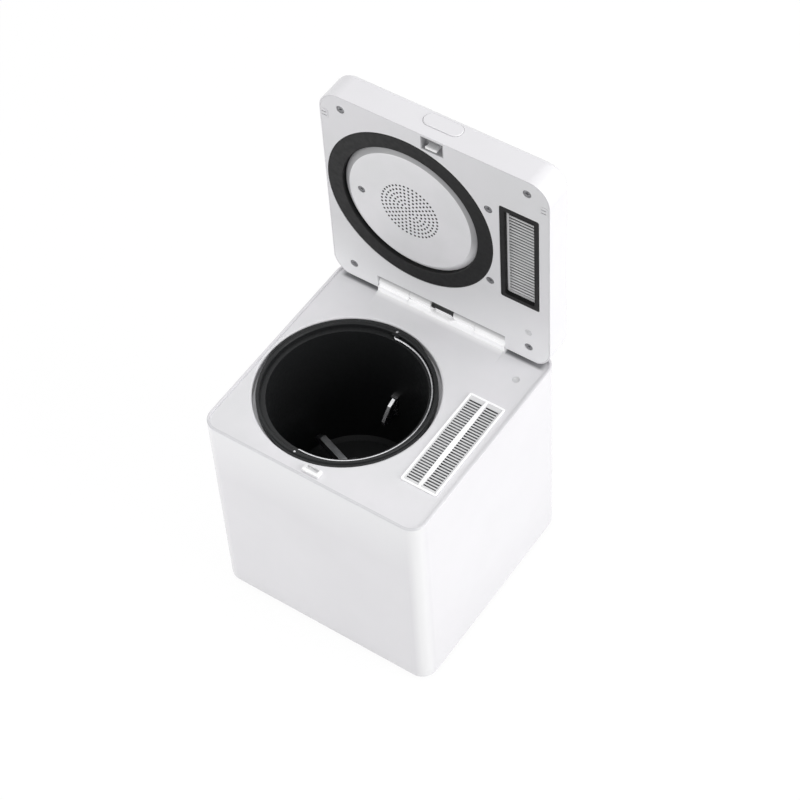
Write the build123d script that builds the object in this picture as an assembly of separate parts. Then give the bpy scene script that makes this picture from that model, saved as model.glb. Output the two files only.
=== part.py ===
"""Electric food waste composter for a kitchen worktop, with its lid standing open.

Millimetres, +Z up. The model is laid out about the middle of the casing's footprint, with X across
the front and Y towards the back, and each piece is moved by ORIGIN_Y as it is written, so that the
origin of the parts is the bottom centre of the whole open composter. The lid's pieces are drawn
with the lid shut and then swung open about the hinge.
"""
from build123d import *
import math
import os

os.makedirs("parts", exist_ok=True)

# ---------------------------------------------------------------- casing
BASE_W = 290.0
BASE_D = 285.0
CORNER_R = 20.0
FOOT_H = 5.0
RIM_Z = 297.0
WALL = 3.0
DECK_Z = RIM_Z - 2.0
DECK_T = 2.6
DECK_GAP = 0.25
DECK_IN = WALL + DECK_GAP

# ---------------------------------------------------------------- bucket
BX = -33.2
BY = -17.6
OPENING_R = 106.5
OPENING_ROLL = 2.5
LEDGE_Z = 282.6
LEDGE_R = 98.6
POT_SEAT_Z = LEDGE_Z + 0.4
POT_RIM_Z = 294.6
POT_RIM_R = 102.3
POT_STEP_R = 97.8
POT_STEP_Z = 288.4
POT_R = 93.6
POT_T = 2.0
POT_BASE_R = 86.0
POT_BASE_Z = 98.5
HANDLE_R = 93.8
WIRE_R = 1.4
WIRE_Z = POT_STEP_Z + 2.2

# ---------------------------------------------------------------- chamber and drive
CHAMBER_R = 97.0
CHAMBER_Z = 95.0
CHAMBER_T = 1.5
GEARCASE_Z = 56.0
GEARCASE_H = 26.5
FRAME_Z = GEARCASE_Z + GEARCASE_H
DRIVE_TEETH = 56
DRIVE_MODULE = 1.5
STEP_TEETH = 14
WHEEL_TEETH = 48
WHEEL_MODULE = 1.25
PINION_TEETH = 12
IDLER_ANGLE = 20.0
MOTOR_ANGLE = -50.0
SHAFT_R = 6.0

# ---------------------------------------------------------------- hinge and lid
HINGE_Y = 133.3
HINGE_Z = 308.7
BARREL_R = 8.8
PIN_R = 3.0
PIN_FIT = 0.05
BLOCK_X = 85.7
KNUCKLE_OUT = 44.3
KNUCKLE_IN = 15.3
KNUCKLE_GAP = 0.35
LID_W = 292.0
LID_D = 289.5
LID_T = 39.2
LID_R = 27.0
LID_WALL = 2.4
LID_ROOF = 3.0
LID_BACK = HINGE_Y + 9.2
LID_FRONT = LID_BACK - LID_D
LID_MID = (LID_BACK + LID_FRONT) / 2
FACE_Z = HINGE_Z - 10.8
LID_TOP = FACE_Z + LID_T
PANEL_IN = 1.6
PANEL_T = 2.5
NOTCH_X = 86.3
NOTCH_Y = LID_BACK - 21.7
SWING_R = 12.9
SCREW_WELL_R = 5.2

# ---------------------------------------------------------------- lid vent and filter port
GASKET_X = -34.5
GASKET_Y = -15.8
GASKET_R = 108.6
GASKET_IN_R = 88.2
PLATE_R = 79.5
PLATE_FOOT_R = 87.8
PLATE_H = 8.0
HOLE_RINGS = 7
HOLE_PITCH = 5.2
HOLE_R = 1.3
PORT_X = 107.6
PORT_Y = -20.4
PORT_W = 49.7
PORT_L = 143.5
PORT_BAND = 6.0
PORT_DEPTH = 5.0
PORT_HOLE_W = PORT_W - 2 * PORT_BAND - 0.6
PORT_HOLE_L = PORT_L - 2 * PORT_BAND - 0.6
SLATS = 28
SLAT_W = 1.8
SLAT_T = 0.8
SLAT_TILT = -35.0

# ---------------------------------------------------------------- deck filter grille
GRILLE_X = 109.4
GRILLE_Y = -18.2
GRILLE_W = 46.0
GRILLE_L = 139.7
GRILLE_H = 1.9
GRILLE_FIELD_Z = DECK_Z + 1.0
GRILLE_SLOTS = 34
SLOT_PITCH = 3.76
SLOT_X = 11.6
SLOT_L = 13.2
SLOT_W = 1.9
CARTRIDGE_W = 40.0
CARTRIDGE_L = 134.0
CARTRIDGE_Z = 222.0

# ---------------------------------------------------------------- latch and button
STRIKE_X = 11.0
STRIKE_FRONT = -136.0
STRIKE_BACK = -126.4
RECESS_X = 13.2
RECESS_FRONT = -143.0
RECESS_BACK = -126.0
RECESS_TOP = FACE_Z + 8.2
BUTTON_X = 24.1
BUTTON_Z = FACE_Z + 23.2
BUTTON_H = 18.9
BUTTON_GAP = 0.35
SPRING_FRONT = -135.8
SPRING_BACK = -116.0

ORIGIN_Y = (HINGE_Y - (HINGE_Z - FACE_Z) + LID_T - BASE_D / 2) / 2
HINGE_AXIS = Axis((0, HINGE_Y, HINGE_Z), (1, 0, 0))

# The screws that hold the lid's inner panel, as drawn with the lid shut.
LID_SCREWS = [(sx * 118.0, y) for sx in (-1, 1) for y in (-128.0, 118.8)] + [(68.9, -77.4), (68.9, 36.3)]
PLATE_SCREW = (-98.2, -15.6)
STRIKE_WINDOW_X = 7.6
SENSOR = (118.5, 94.7)
SENSOR_R = 4.4
MAGNET = (117.8, 93.9)
BUMPERS = [(sx * 139.2, -112.6) for sx in (-1, 1)]
BUMPER_W = 8.4
BUMPER_L = 12.6
FRAME_LEGS = [(BX + sx * 88.0, BY + sy * 88.0) for sx in (-1, 1) for sy in (-1, 1)]
BASE_SCREWS = [(sx * 124.0, sy * 121.0) for sx in (-1, 1) for sy in (-1, 1)]


# ---------------------------------------------------------------- helpers
def save(shape, name):
    """Write one named piece, moved to the frame that all pieces share."""
    export_step(Pos(0, -ORIGIN_Y, 0) * shape, f"parts/{name}.step")


def open_lid(shape):
    """Swing a piece that was drawn with the lid shut to its place with the lid open."""
    return shape.rotate(HINGE_AXIS, -90)


def prism(outline, z0, z1):
    return extrude(Pos(0, 0, z0) * outline, amount=z1 - z0)


def plate(w, d, r, z0, z1, x=0.0, y=0.0):
    return Pos(x, y, 0) * prism(RectangleRounded(w, d, r), z0, z1)


def block(x0, x1, y0, y1, z0, z1):
    return Pos((x0 + x1) / 2, (y0 + y1) / 2, (z0 + z1) / 2) * Box(x1 - x0, y1 - y0, z1 - z0)


def disc(r, z0, z1, x=0.0, y=0.0):
    return Pos(x, y, (z0 + z1) / 2) * Cylinder(r, z1 - z0)


def ring(r_out, r_in, z0, z1, x=0.0, y=0.0):
    return disc(r_out, z0, z1, x, y) - disc(r_in, z0 - 1, z1 + 1, x, y)


def turned(points, x=0.0, y=0.0):
    """A solid of revolution from (radius, height) points about a vertical axis."""
    return Pos(x, y, 0) * revolve(Plane.XZ * make_face(Polyline(*points, close=True)), Axis.Z)


def barrel(r, x0, x1, y=HINGE_Y, z=HINGE_Z):
    """A cylinder along X, by default on the hinge axis."""
    return Pos((x0 + x1) / 2, y, z) * Rot(0, 90, 0) * Cylinder(r, x1 - x0)


def group(shapes):
    """Separate solids that share one node."""
    return Compound([solid for shape in shapes for solid in shape.solids()])


def pill(length, height, y0, y1, z):
    """A bar with round ends, long in X, that runs from y0 to y1."""
    return Pos(0, y1, z) * Rot(90, 0, 0) * extrude(SlotOverall(length, height), amount=y1 - y0)


def gear(teeth, module, z0, z1, bore, turn):
    """A spur gear with straight-flanked teeth, one tooth centred on the angle turn."""
    pitch = 360 / teeth
    r_root = module * (teeth / 2 - 1.2)
    r_tip = module * (teeth / 2 + 0.95)
    corners = []
    for k in range(teeth):
        for radius, share in ((r_root, -0.33), (r_tip, -0.12), (r_tip, 0.12), (r_root, 0.33)):
            a = math.radians(turn + (k + share) * pitch)
            corners.append((radius * math.cos(a), radius * math.sin(a)))
    blank = prism(make_face(Polyline(*corners, close=True)), z0, z1)
    return blank - disc(bore, z0 - 1, z1 + 1)


# ---------------------------------------------------------------- casing
def make_body_shell():
    shell = plate(BASE_W, BASE_D, CORNER_R, FOOT_H, RIM_Z)
    shell = fillet(shell.edges().group_by(Axis.Z)[0], 3.0)
    shell = fillet(shell.edges().group_by(Axis.Z)[-1], 1.2)
    shell -= plate(BASE_W - 2 * WALL, BASE_D - 2 * WALL, CORNER_R - WALL, 0, RIM_Z + 1)
    lip_w = BASE_W - 2 * WALL
    lip_d = BASE_D - 2 * WALL
    lip = plate(lip_w + 0.2, lip_d + 0.2, CORNER_R - WALL, DECK_Z - DECK_T - 5, DECK_Z - DECK_T)
    lip -= plate(lip_w - 6, lip_d - 6, CORNER_R - WALL - 3, 0, RIM_Z)
    lip -= disc(OPENING_R + 7.0, 0, RIM_Z, BX, BY)
    shell += lip
    for x, y in BASE_SCREWS:
        post = disc(5.0, 11.0, 40, x, y)
        web_x = block(min(x, x * 1.146), max(x, x * 1.146), y - 1, y + 1, 11.0, 36)
        web_y = block(x - 1, x + 1, min(y, y * 1.153), max(y, y * 1.153), 11.0, 36)
        shell += post + web_x + web_y - disc(1.6, 11, 30, x, y)
    # Exhaust slots and the power inlet's window, both in the back wall.
    for k in range(7):
        shell -= block(76, 120, BASE_D / 2 - WALL - 1, BASE_D / 2 + 1, 149 + 6 * k, 152 + 6 * k)
    shell -= block(-111, -79, BASE_D / 2 - WALL - 1, BASE_D / 2 + 1, 28, 52)
    return shell


def make_base_plate():
    base = plate(BASE_W - 2 * WALL - 0.4, BASE_D - 2 * WALL - 0.4, CORNER_R - WALL, FOOT_H, FOOT_H + 3)
    rim = plate(BASE_W - 2 * WALL - 3, BASE_D - 2 * WALL - 3, CORNER_R - WALL - 1.5, FOOT_H + 3, 10.8)
    rim -= plate(BASE_W - 2 * WALL - 7, BASE_D - 2 * WALL - 7, CORNER_R - WALL - 3.5, 0, 20)
    base += rim
    for x, y in BASE_SCREWS:
        base += disc(6.0, FOOT_H + 2, 11.0, x, y)
    for x, y in BASE_SCREWS:
        base -= disc(3.8, FOOT_H - 1, FOOT_H + 3.2, x, y) + disc(1.9, FOOT_H, 12, x, y)
    for k in range(9):
        base -= block(-52 + 11 * k, -47 + 11 * k, -112, -72, FOOT_H - 1, FOOT_H + 4)
    return base


def make_feet():
    foot = turned([(0, 0), (9.6, 0), (11, 1.4), (11, FOOT_H), (0, FOOT_H)])
    return group(Pos(sx * 108, sy * 105, 0) * foot for sx in (-1, 1) for sy in (-1, 1))


def make_base_screws():
    screw = turned([(0, 5.6), (3.2, 5.6), (3.2, 8.2), (1.5, 8.2), (1.5, 26), (0, 26)])
    return group(Pos(x, y, 0) * screw for x, y in BASE_SCREWS)


# ---------------------------------------------------------------- deck
def deck_collar():
    """The rolled lip that drops from the deck to the ledge that carries the bucket's rim."""
    roll = OPENING_ROLL
    wall_r = OPENING_R
    top = (wall_r + roll, DECK_Z)
    low = (wall_r, DECK_Z - roll)
    mid = (wall_r + roll * (1 - math.sin(math.pi / 4)), DECK_Z - roll * (1 - math.cos(math.pi / 4)))
    inner = ThreePointArc(top, mid, low)
    rest = Polyline(
        low, (wall_r, LEDGE_Z), (LEDGE_R, LEDGE_Z), (LEDGE_R, LEDGE_Z - 2.2), (wall_r + 2.4, LEDGE_Z - 2.2),
        (wall_r + 2.4, DECK_Z - 7.5), (wall_r + roll, DECK_Z - DECK_T), top)
    return Pos(BX, BY, 0) * revolve(Plane.XZ * make_face(inner + rest), Axis.Z)


def make_deck_panel():
    w = BASE_W - 2 * DECK_IN
    d = BASE_D - 2 * DECK_IN
    deck = plate(w, d, CORNER_R - DECK_IN, DECK_Z - DECK_T, DECK_Z)
    deck = fillet(deck.edges().group_by(Axis.Z)[-1], 0.6)
    deck -= disc(OPENING_R + OPENING_ROLL, 0, 400, BX, BY)
    deck += deck_collar() & plate(w, d, CORNER_R - DECK_IN, 0, 400)
    # The slope that climbs towards the hinge block.
    foot_y = 99.0
    back_y = 121.0
    rise = 2.4
    mid_y = (foot_y + back_y) / 2 + 1.5
    slope = ThreePointArc((foot_y, DECK_Z), (mid_y, DECK_Z + 0.75), (back_y, DECK_Z + rise))
    under = Polyline((back_y, DECK_Z + rise), (back_y, DECK_Z - 1), (foot_y, DECK_Z - 1), (foot_y, DECK_Z))
    run = make_face(slope + under)
    deck += Pos(-BLOCK_X, 0, 0) * extrude(Plane.YZ * run, amount=2 * BLOCK_X)
    deck -= block(-BLOCK_X - 0.2, BLOCK_X + 0.2, back_y, BASE_D, 0, RIM_Z + 20)
    # Openings for the filter cartridge, the lid sensor and the latch strike's foot.
    deck -= plate(CARTRIDGE_W + 3.0, CARTRIDGE_L + 3.0, 3.0, 0, 400, GRILLE_X, GRILLE_Y)
    deck -= disc(SENSOR_R + 0.1, 0, 400, *SENSOR)
    deck -= block(-8.1, 8.1, STRIKE_FRONT + 0.9, STRIKE_BACK - 0.6, 0, 400)
    # Stiffening ribs under the front and the side, clear of the collar and the filter well.
    low = DECK_Z - DECK_T - 6
    high = DECK_Z - DECK_T + 0.2
    for x, end_y in ((-110, -100), (40, -119), (72, -100)):
        deck += block(x - 1, x + 1, -134, end_y, low, high)
    deck += block(-130, 108, 95, 97, low, high)
    return deck


def make_latch_strike():
    top = DECK_Z + 4.0
    strike = block(-STRIKE_X, STRIKE_X, STRIKE_FRONT, STRIKE_BACK, DECK_Z, top)
    strike = fillet(strike.edges().filter_by(Axis.Z), 1.3)
    strike = fillet(strike.edges().group_by(Axis.Z)[-1], 0.6)
    w = STRIKE_WINDOW_X
    strike -= block(-w, w, -132.4, -127.4, DECK_Z - 1, top + 1)
    strike -= block(-w, w, -134.7, -127.4, DECK_Z - 1, top - 1.6)
    return strike + block(-w - 0.3, w + 0.3, -134.9, -127.2, DECK_Z - 6, DECK_Z + 0.3)


def make_lid_sensor():
    """A window let a little below the deck, with its body under the sheet."""
    under = DECK_Z - DECK_T
    face = DECK_Z - 0.5
    return turned([
        (0, 279), (SENSOR_R + 2, 279), (SENSOR_R + 2, under), (SENSOR_R, under), (SENSOR_R, face),
        (SENSOR_R - 0.9, face), (SENSOR_R - 1.4, face - 0.6), (0, face - 0.6)], *SENSOR)


# ---------------------------------------------------------------- hinge on the casing
def make_hinge_block():
    """The riser behind the deck with its two outer knuckles."""
    profile = Polyline(
        (121.2, DECK_Z - DECK_T), (121.2, 299.0), (122.2, 302.5), (123.4, 304.4), (125.0, 303.6),
        (125.0, 300.4), (128.0, 299.4), (139.0, 299.4), (139.0, DECK_Z - DECK_T), (121.2, DECK_Z - DECK_T))
    riser = Pos(-BLOCK_X, 0, 0) * extrude(Plane.YZ * make_face(profile), amount=2 * BLOCK_X)
    for side in (-1, 1):
        x0 = min(side * KNUCKLE_OUT, side * BLOCK_X)
        x1 = max(side * KNUCKLE_OUT, side * BLOCK_X)
        riser += barrel(BARREL_R, x0, x1)
        riser += block(x0, x1, 124.6, HINGE_Y + BARREL_R - 0.4, 298, HINGE_Z)
        riser += block(x0, x1, 121.6, 126, 299.0, 304.0)
    riser -= barrel(PIN_R, -BLOCK_X - 1, BLOCK_X + 1)
    # A saddle in the middle that holds the harness tube.
    riser += block(-11, 11, 129, 137.6, 299.0, 304.0)
    riser -= barrel(6.4, -11.5, 11.5)
    # The ribbed sill under the gap in the middle of the hinge.
    riser -= block(-14.8, 14.8, 121.9, 126, 300.6, 310)
    for k in range(12):
        x = -13.2 + 2.4 * k
        riser += block(x - 0.6, x + 0.6, 121.4, 125.0, 300.0, 303.2)
    return riser


def make_hinge_pins():
    return group(barrel(PIN_R, min(s * 18, s * 82), max(s * 18, s * 82)) for s in (-1, 1))


def make_harness_tube():
    tube = barrel(6.4, -14.6, 14.6)
    tube += barrel(7.2, -14.9, -12.4) + barrel(7.2, 12.4, 14.9)
    return tube - barrel(4.2, -16, 16)


# ---------------------------------------------------------------- chamber, heater and frame
def make_chamber():
    top = LEDGE_Z - 2.2
    low = CHAMBER_Z - CHAMBER_T
    skin_r = CHAMBER_R + CHAMBER_T
    outside = [(14, low), (CHAMBER_R - 3, low), (skin_r, CHAMBER_Z + 3), (skin_r, top - 1.6)]
    flange = [(106, top - 1.6), (106, top), (CHAMBER_R, top)]
    inside = [(CHAMBER_R, CHAMBER_Z + 3.6), (CHAMBER_R - 3.6, CHAMBER_Z), (14, CHAMBER_Z)]
    return turned(outside + flange + inside, BX, BY)


def make_heater_plate():
    heater = turned([(16, FRAME_Z + 2), (86, FRAME_Z + 2), (88, FRAME_Z + 4), (88, CHAMBER_Z - CHAMBER_T),
                     (16, CHAMBER_Z - CHAMBER_T)], BX, BY)
    groove = ring(66, 60, FRAME_Z + 1, FRAME_Z + 5, BX, BY)
    return heater - groove


def make_heating_element():
    return ring(66, 60, FRAME_Z + 2.2, FRAME_Z + 5, BX, BY)


def make_drive_frame():
    """The sheet that carries the chamber, on four posts from the base plate."""
    sheet = plate(208, 216, 12, FRAME_Z, FRAME_Z + 2, BX, BY)
    sheet -= disc(15, FRAME_Z - 1, FRAME_Z + 3, BX, BY)
    for x, y in FRAME_LEGS:
        sheet += disc(5, FOOT_H + 3, FRAME_Z + 0.5, x, y)
    for k in range(6):
        a = math.radians(60 * k + 30)
        sheet -= disc(9, FRAME_Z - 1, FRAME_Z + 3, BX + 92 * math.cos(a), BY + 92 * math.sin(a))
    return sheet


# ---------------------------------------------------------------- gear train
def polar(x, y, r, degrees):
    a = math.radians(degrees)
    return x + r * math.cos(a), y + r * math.sin(a)


IDLER_GAP = DRIVE_MODULE * (DRIVE_TEETH + STEP_TEETH) / 2
MOTOR_GAP = WHEEL_MODULE * (WHEEL_TEETH + PINION_TEETH) / 2
IX, IY = polar(BX, BY, IDLER_GAP, IDLER_ANGLE)
MX, MY = polar(IX, IY, MOTOR_GAP, MOTOR_ANGLE)


def make_gearbox_case():
    z0 = GEARCASE_Z
    z1 = z0 + GEARCASE_H - 2.5
    floor = disc(49, z0, z1, BX, BY) + disc(38, z0, z1, IX, IY) + disc(16, z0, z1, MX, MY)
    hollow = disc(46.5, z0 + 2.5, z1 + 1, BX, BY) + disc(35.5, z0 + 2.5, z1 + 1, IX, IY)
    hollow += disc(13.5, z0 + 2.5, z1 + 1, MX, MY)
    case = floor - hollow - disc(11, z0 - 1, z1, BX, BY) - disc(7, z0 - 1, z1, MX, MY)
    case += ring(14, 11, z0 - 3, z0 + 2.5, BX, BY)
    case += disc(6, z0 + 2, z0 + 3.4, IX, IY)
    return case


def make_gearbox_cover():
    z0 = GEARCASE_Z + GEARCASE_H - 2.5
    cover = disc(49, z0, z0 + 2.5, BX, BY) + disc(38, z0, z0 + 2.5, IX, IY) + disc(16, z0, z0 + 2.5, MX, MY)
    return cover - disc(11, z0 - 1, z0 + 4, BX, BY)


def make_bearings():
    """Two sintered bushes on the drive shaft, one in the case and one in the cover."""
    low = ring(11, SHAFT_R + PIN_FIT, GEARCASE_Z - 3, GEARCASE_Z + 3, BX, BY)
    high = ring(11, SHAFT_R + PIN_FIT, GEARCASE_Z + GEARCASE_H - 2.5, GEARCASE_Z + GEARCASE_H, BX, BY)
    return group([low, high])


def make_idler_pin():
    return disc(3, GEARCASE_Z + 3.4, GEARCASE_Z + GEARCASE_H - 2.5, IX, IY)


def make_drive_gear():
    z0 = GEARCASE_Z + 14.5
    wheel = gear(DRIVE_TEETH, DRIVE_MODULE, z0, z0 + 8, SHAFT_R, IDLER_ANGLE + 180 / DRIVE_TEETH)
    wheel -= ring(33, 13, z0 + 5.5, z0 + 9) + ring(33, 13, z0 - 1, z0 + 2.5)
    return Pos(BX, BY, 0) * wheel


def make_drive_shaft():
    shaft = disc(SHAFT_R, GEARCASE_Z - 4, CHAMBER_Z + 0.5, BX, BY)
    key = prism(RegularPolygon(5.0, 6), CHAMBER_Z, CHAMBER_Z + 13)
    return shaft + Pos(BX, BY, 0) * key


def make_idler_gear():
    z0 = GEARCASE_Z + 4.2
    wheel = gear(WHEEL_TEETH, WHEEL_MODULE, z0, z0 + 8, 3.05, MOTOR_ANGLE)
    step = gear(STEP_TEETH, DRIVE_MODULE, z0 + 8, z0 + 19, 3.05, IDLER_ANGLE + 180)
    return Pos(IX, IY, 0) * (wheel + step)


def make_motor_pinion():
    z0 = GEARCASE_Z + 4.2
    pinion = gear(PINION_TEETH, WHEEL_MODULE, z0, z0 + 8.5, 2.4, MOTOR_ANGLE + 180 + 180 / PINION_TEETH)
    return Pos(MX, MY, 0) * pinion


def make_motor_shaft():
    return disc(2.4, GEARCASE_Z - 8, GEARCASE_Z + 13, MX, MY)


def make_drive_motor():
    z1 = GEARCASE_Z
    can = turned([
        (2.45, 13), (24, 13), (26, 15), (26, z1 - 3), (24, z1 - 1), (9, z1 - 1), (9, z1), (2.45, z1)], MX, MY)
    for side in (-1, 1):
        can += block(MX + side * 25 - 3, MX + side * 25 + 3, MY - 6, MY + 6, 13, 17)
    return can


# ---------------------------------------------------------------- bucket
def make_bucket():
    """A tapered pot with a stepped rim, a raised boss round the shaft and a rounded foot."""
    z = POT_BASE_Z
    outer = [
        (13.5, z + 3.5), (13.5, z), (POT_BASE_R - 5, z), (POT_BASE_R - 1.5, z + 1.5), (POT_BASE_R, z + 5)]
    rim = [
        (POT_R, POT_STEP_Z - 4.0), (97.0, POT_STEP_Z - 1.8), (POT_STEP_R + 0.4, POT_STEP_Z - 1.8),
        (POT_STEP_R + 0.4, POT_SEAT_Z), (POT_RIM_R, POT_SEAT_Z), (POT_RIM_R, POT_RIM_Z - 1.2),
        (POT_RIM_R - 1.2, POT_RIM_Z), (POT_STEP_R + 1.0, POT_RIM_Z), (POT_STEP_R, POT_RIM_Z - 1.0),
        (POT_STEP_R, POT_STEP_Z), (POT_R - POT_T, POT_STEP_Z), (POT_R - POT_T, POT_STEP_Z - 4.4)]
    inner = [
        (POT_BASE_R - POT_T, z + 7), (POT_BASE_R - 7, z + 2.5), (16, z + 2.5), (13.5, z + 12), (13.5, z + 14),
        (8.0, z + 14), (8.0, z + 3.5)]
    return turned(outer + rim + inner, BX, BY)


def make_bucket_bush():
    return ring(8.0, 6.55, POT_BASE_Z + 3.5, POT_BASE_Z + 13, BX, BY)


def make_shaft_seal():
    z = POT_BASE_Z + 14
    return turned([(7.0, z), (13.0, z), (11.5, z + 2.7), (7.0, z + 2.0)], BX, BY)


def make_handle_lugs():
    lug = block(-5, 5, 95.3, POT_STEP_R - 0.15, POT_STEP_Z, POT_STEP_Z + 4.6)
    lug = fillet(lug.edges().filter_by(Axis.Y).group_by(Axis.Z)[-1], 1.6)
    lug -= Pos(0, 96, WIRE_Z) * Rot(90, 0, 0) * Cylinder(WIRE_R + 0.06, 6)
    return group(Pos(BX, BY, 0) * Rot(0, 0, turn) * lug for turn in (0, 180))


def make_lug_rivets():
    rivet = turned([(0, POT_RIM_Z), (1.5, POT_RIM_Z), (0.9, POT_RIM_Z + 0.5), (0, POT_RIM_Z + 0.6)])
    return group(Pos(BX, BY + side * 100.3, 0) * rivet for side in (-1, 1))


def make_bucket_handle():
    """A round wire bail that lies on the rim's step, with its two ends turned out into the lugs."""
    z = WIRE_Z
    r = HANDLE_R
    bow = ThreePointArc((BX, BY - r, z), (BX + r, BY, z), (BX, BY + r, z))
    wire = sweep(Plane(origin=(BX, BY - r, z), z_dir=(1, 0, 0)) * Circle(WIRE_R), path=bow)
    for side in (-1, 1):
        wire += Pos(BX, BY + side * (r + 1.3), z) * Rot(90, 0, 0) * Cylinder(WIRE_R, 5.2)
    return wire


# ---------------------------------------------------------------- agitator and cutters
def make_agitator():
    """A hub with a domed cap and three scraping arms at staggered heights."""
    hub = turned([(0, 117), (12.5, 117), (12.5, 150), (9, 160), (4, 165), (0, 166)])
    stem = disc(6.5, POT_BASE_Z + 1.0, 118) - prism(RegularPolygon(5.35, 6), 90, 110)
    body = hub + stem
    for k in range(3):
        z = 119 + 11 * k
        arm = Polyline(
            (8, z), (76, z), (78.5, z + 3), (66, z + 16 - 3 * k), (20, z + 14), (8, z + 18), (8, z))
        blade = extrude(Plane.XZ * make_face(arm), amount=4, both=True)
        body += Rot(0, 0, 120 * k + 40) * blade
    return Pos(BX, BY, 0) * body


def make_fixed_cutters():
    """Two fins that stand in from the bucket's tapered wall, above the sweep of the arms."""
    tooth = Polyline((60, 166), (70, 162), (90, 162), (90, 192), (74, 186), (60, 172), (60, 166))
    fin = extrude(Plane.YZ * make_face(tooth), amount=2, both=True) + block(-4, 4, 84, 90, 162, 192)
    taper = (POT_R - POT_BASE_R) / (POT_STEP_Z - POT_BASE_Z - 11.4)
    low = POT_BASE_R - POT_T
    cavity = turned([(0, POT_BASE_Z + 7), (low, POT_BASE_Z + 7), (low + taper * 100, POT_BASE_Z + 107),
                     (0, POT_BASE_Z + 107)])
    fin &= cavity
    return group(Pos(BX, BY, 0) * Rot(0, 0, turn) * fin for turn in (0, 180))


# ---------------------------------------------------------------- filter and fan
def make_filter_grille():
    """The cartridge's cap: a raised frame and two columns of slots either side of a rib."""
    cap = plate(GRILLE_W, GRILLE_L, 2.0, DECK_Z + 0.3, DECK_Z + 0.3 + GRILLE_H, GRILLE_X, GRILLE_Y)
    cap = chamfer(cap.edges().group_by(Axis.Z)[-1], 0.5)
    cap -= plate(GRILLE_W - 7, GRILLE_L - 7, 1.0, GRILLE_FIELD_Z, DECK_Z + 5, GRILLE_X, GRILLE_Y)
    cap += block(GRILLE_X - 2.2, GRILLE_X + 2.2, GRILLE_Y - GRILLE_L / 2 + 3, GRILLE_Y + GRILLE_L / 2 - 3,
                 DECK_Z + 0.3, DECK_Z + 0.3 + GRILLE_H)
    slot = Box(SLOT_L, SLOT_W, 6)
    first = GRILLE_Y - SLOT_PITCH * (GRILLE_SLOTS - 1) / 2
    slots = [Pos(GRILLE_X + side * SLOT_X, first + SLOT_PITCH * k, DECK_Z + 1) * slot
             for side in (-1, 1) for k in range(GRILLE_SLOTS)]
    return cap - slots


def make_filter_cartridge():
    """The drawn box under the cap, open to the grille above and slotted below."""
    box = plate(CARTRIDGE_W, CARTRIDGE_L, 2.5, CARTRIDGE_Z, DECK_Z + 0.3, GRILLE_X, GRILLE_Y)
    box -= plate(CARTRIDGE_W - 3, CARTRIDGE_L - 3, 1.5, CARTRIDGE_Z + 1.5, 400, GRILLE_X, GRILLE_Y)
    for k in range(12):
        y = GRILLE_Y - 55 + 10 * k
        box -= block(GRILLE_X - 14, GRILLE_X + 14, y - 2, y + 2, CARTRIDGE_Z - 1, CARTRIDGE_Z + 2)
    return box


def make_carbon_pack():
    return plate(CARTRIDGE_W - 3.2, CARTRIDGE_L - 3.2, 1.2, CARTRIDGE_Z + 1.5, 286, GRILLE_X, GRILLE_Y)


def make_filter_well():
    """The sleeve that the cartridge drops into, necked down to the fan's inlet."""
    w = CARTRIDGE_W + 2.4
    d = CARTRIDGE_L + 2.4
    well = plate(w + 4, d + 4, 4, CARTRIDGE_Z - 4, DECK_Z - DECK_T, GRILLE_X, GRILLE_Y)
    well -= plate(w, d, 3, CARTRIDGE_Z - 2, 400, GRILLE_X, GRILLE_Y)
    neck = disc(20, CARTRIDGE_Z - 30, CARTRIDGE_Z - 2.2, GRILLE_X - 2, GRILLE_Y)
    well += neck
    return well - disc(17.5, 100, CARTRIDGE_Z, GRILLE_X - 2, GRILLE_Y)


FAN_X = GRILLE_X - 2
FAN_Z = CARTRIDGE_Z - 56


def make_fan_housing():
    """A flat volute with its mouth on top and its outlet towards the back wall."""
    case = disc(33, FAN_Z, FAN_Z + 26, FAN_X, GRILLE_Y)
    case += block(FAN_X - 5, FAN_X + 33, GRILLE_Y, 60, FAN_Z, FAN_Z + 26)
    hollow = disc(31, FAN_Z + 2, FAN_Z + 24, FAN_X, GRILLE_Y)
    hollow += block(FAN_X - 3, FAN_X + 31, GRILLE_Y, 61, FAN_Z + 2, FAN_Z + 24)
    case -= hollow
    case -= disc(17.5, FAN_Z + 20, FAN_Z + 30, FAN_X, GRILLE_Y)
    return case - disc(4, FAN_Z - 1, FAN_Z + 3, FAN_X, GRILLE_Y)


def make_exhaust_duct():
    """A duct that draws in from the fan's outlet to a wider mouth behind the back wall's slots."""
    y0 = 60.0
    y1 = BASE_D / 2 - WALL
    near = Plane(origin=(FAN_X + 14, y0, FAN_Z + 13), x_dir=(1, 0, 0), z_dir=(0, 1, 0))
    far = Plane(origin=(98, y1, 170), x_dir=(1, 0, 0), z_dir=(0, 1, 0))
    outer = loft([near * Rectangle(38, 26), far * Rectangle(50, 48)])
    inner = loft([near * Rectangle(34, 22), far * Rectangle(46, 44)])
    return outer - inner


def make_fan_impeller():
    wheel = disc(27, FAN_Z + 4, FAN_Z + 5.5) + disc(8, FAN_Z + 4, FAN_Z + 16) + disc(2, FAN_Z - 5, FAN_Z + 5)
    blade = Pos(22.5, 0, 0) * Rot(0, 0, 35) * block(-5, 5, -0.6, 0.6, FAN_Z + 5, FAN_Z + 19)
    for k in range(16):
        wheel += Rot(0, 0, 22.5 * k) * blade
    return Pos(FAN_X, GRILLE_Y, 0) * wheel


def make_fan_motor():
    can = disc(16, FAN_Z - 22, FAN_Z, FAN_X, GRILLE_Y)
    return can - disc(2 + PIN_FIT, FAN_Z - 6, FAN_Z + 1, FAN_X, GRILLE_Y)


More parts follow.
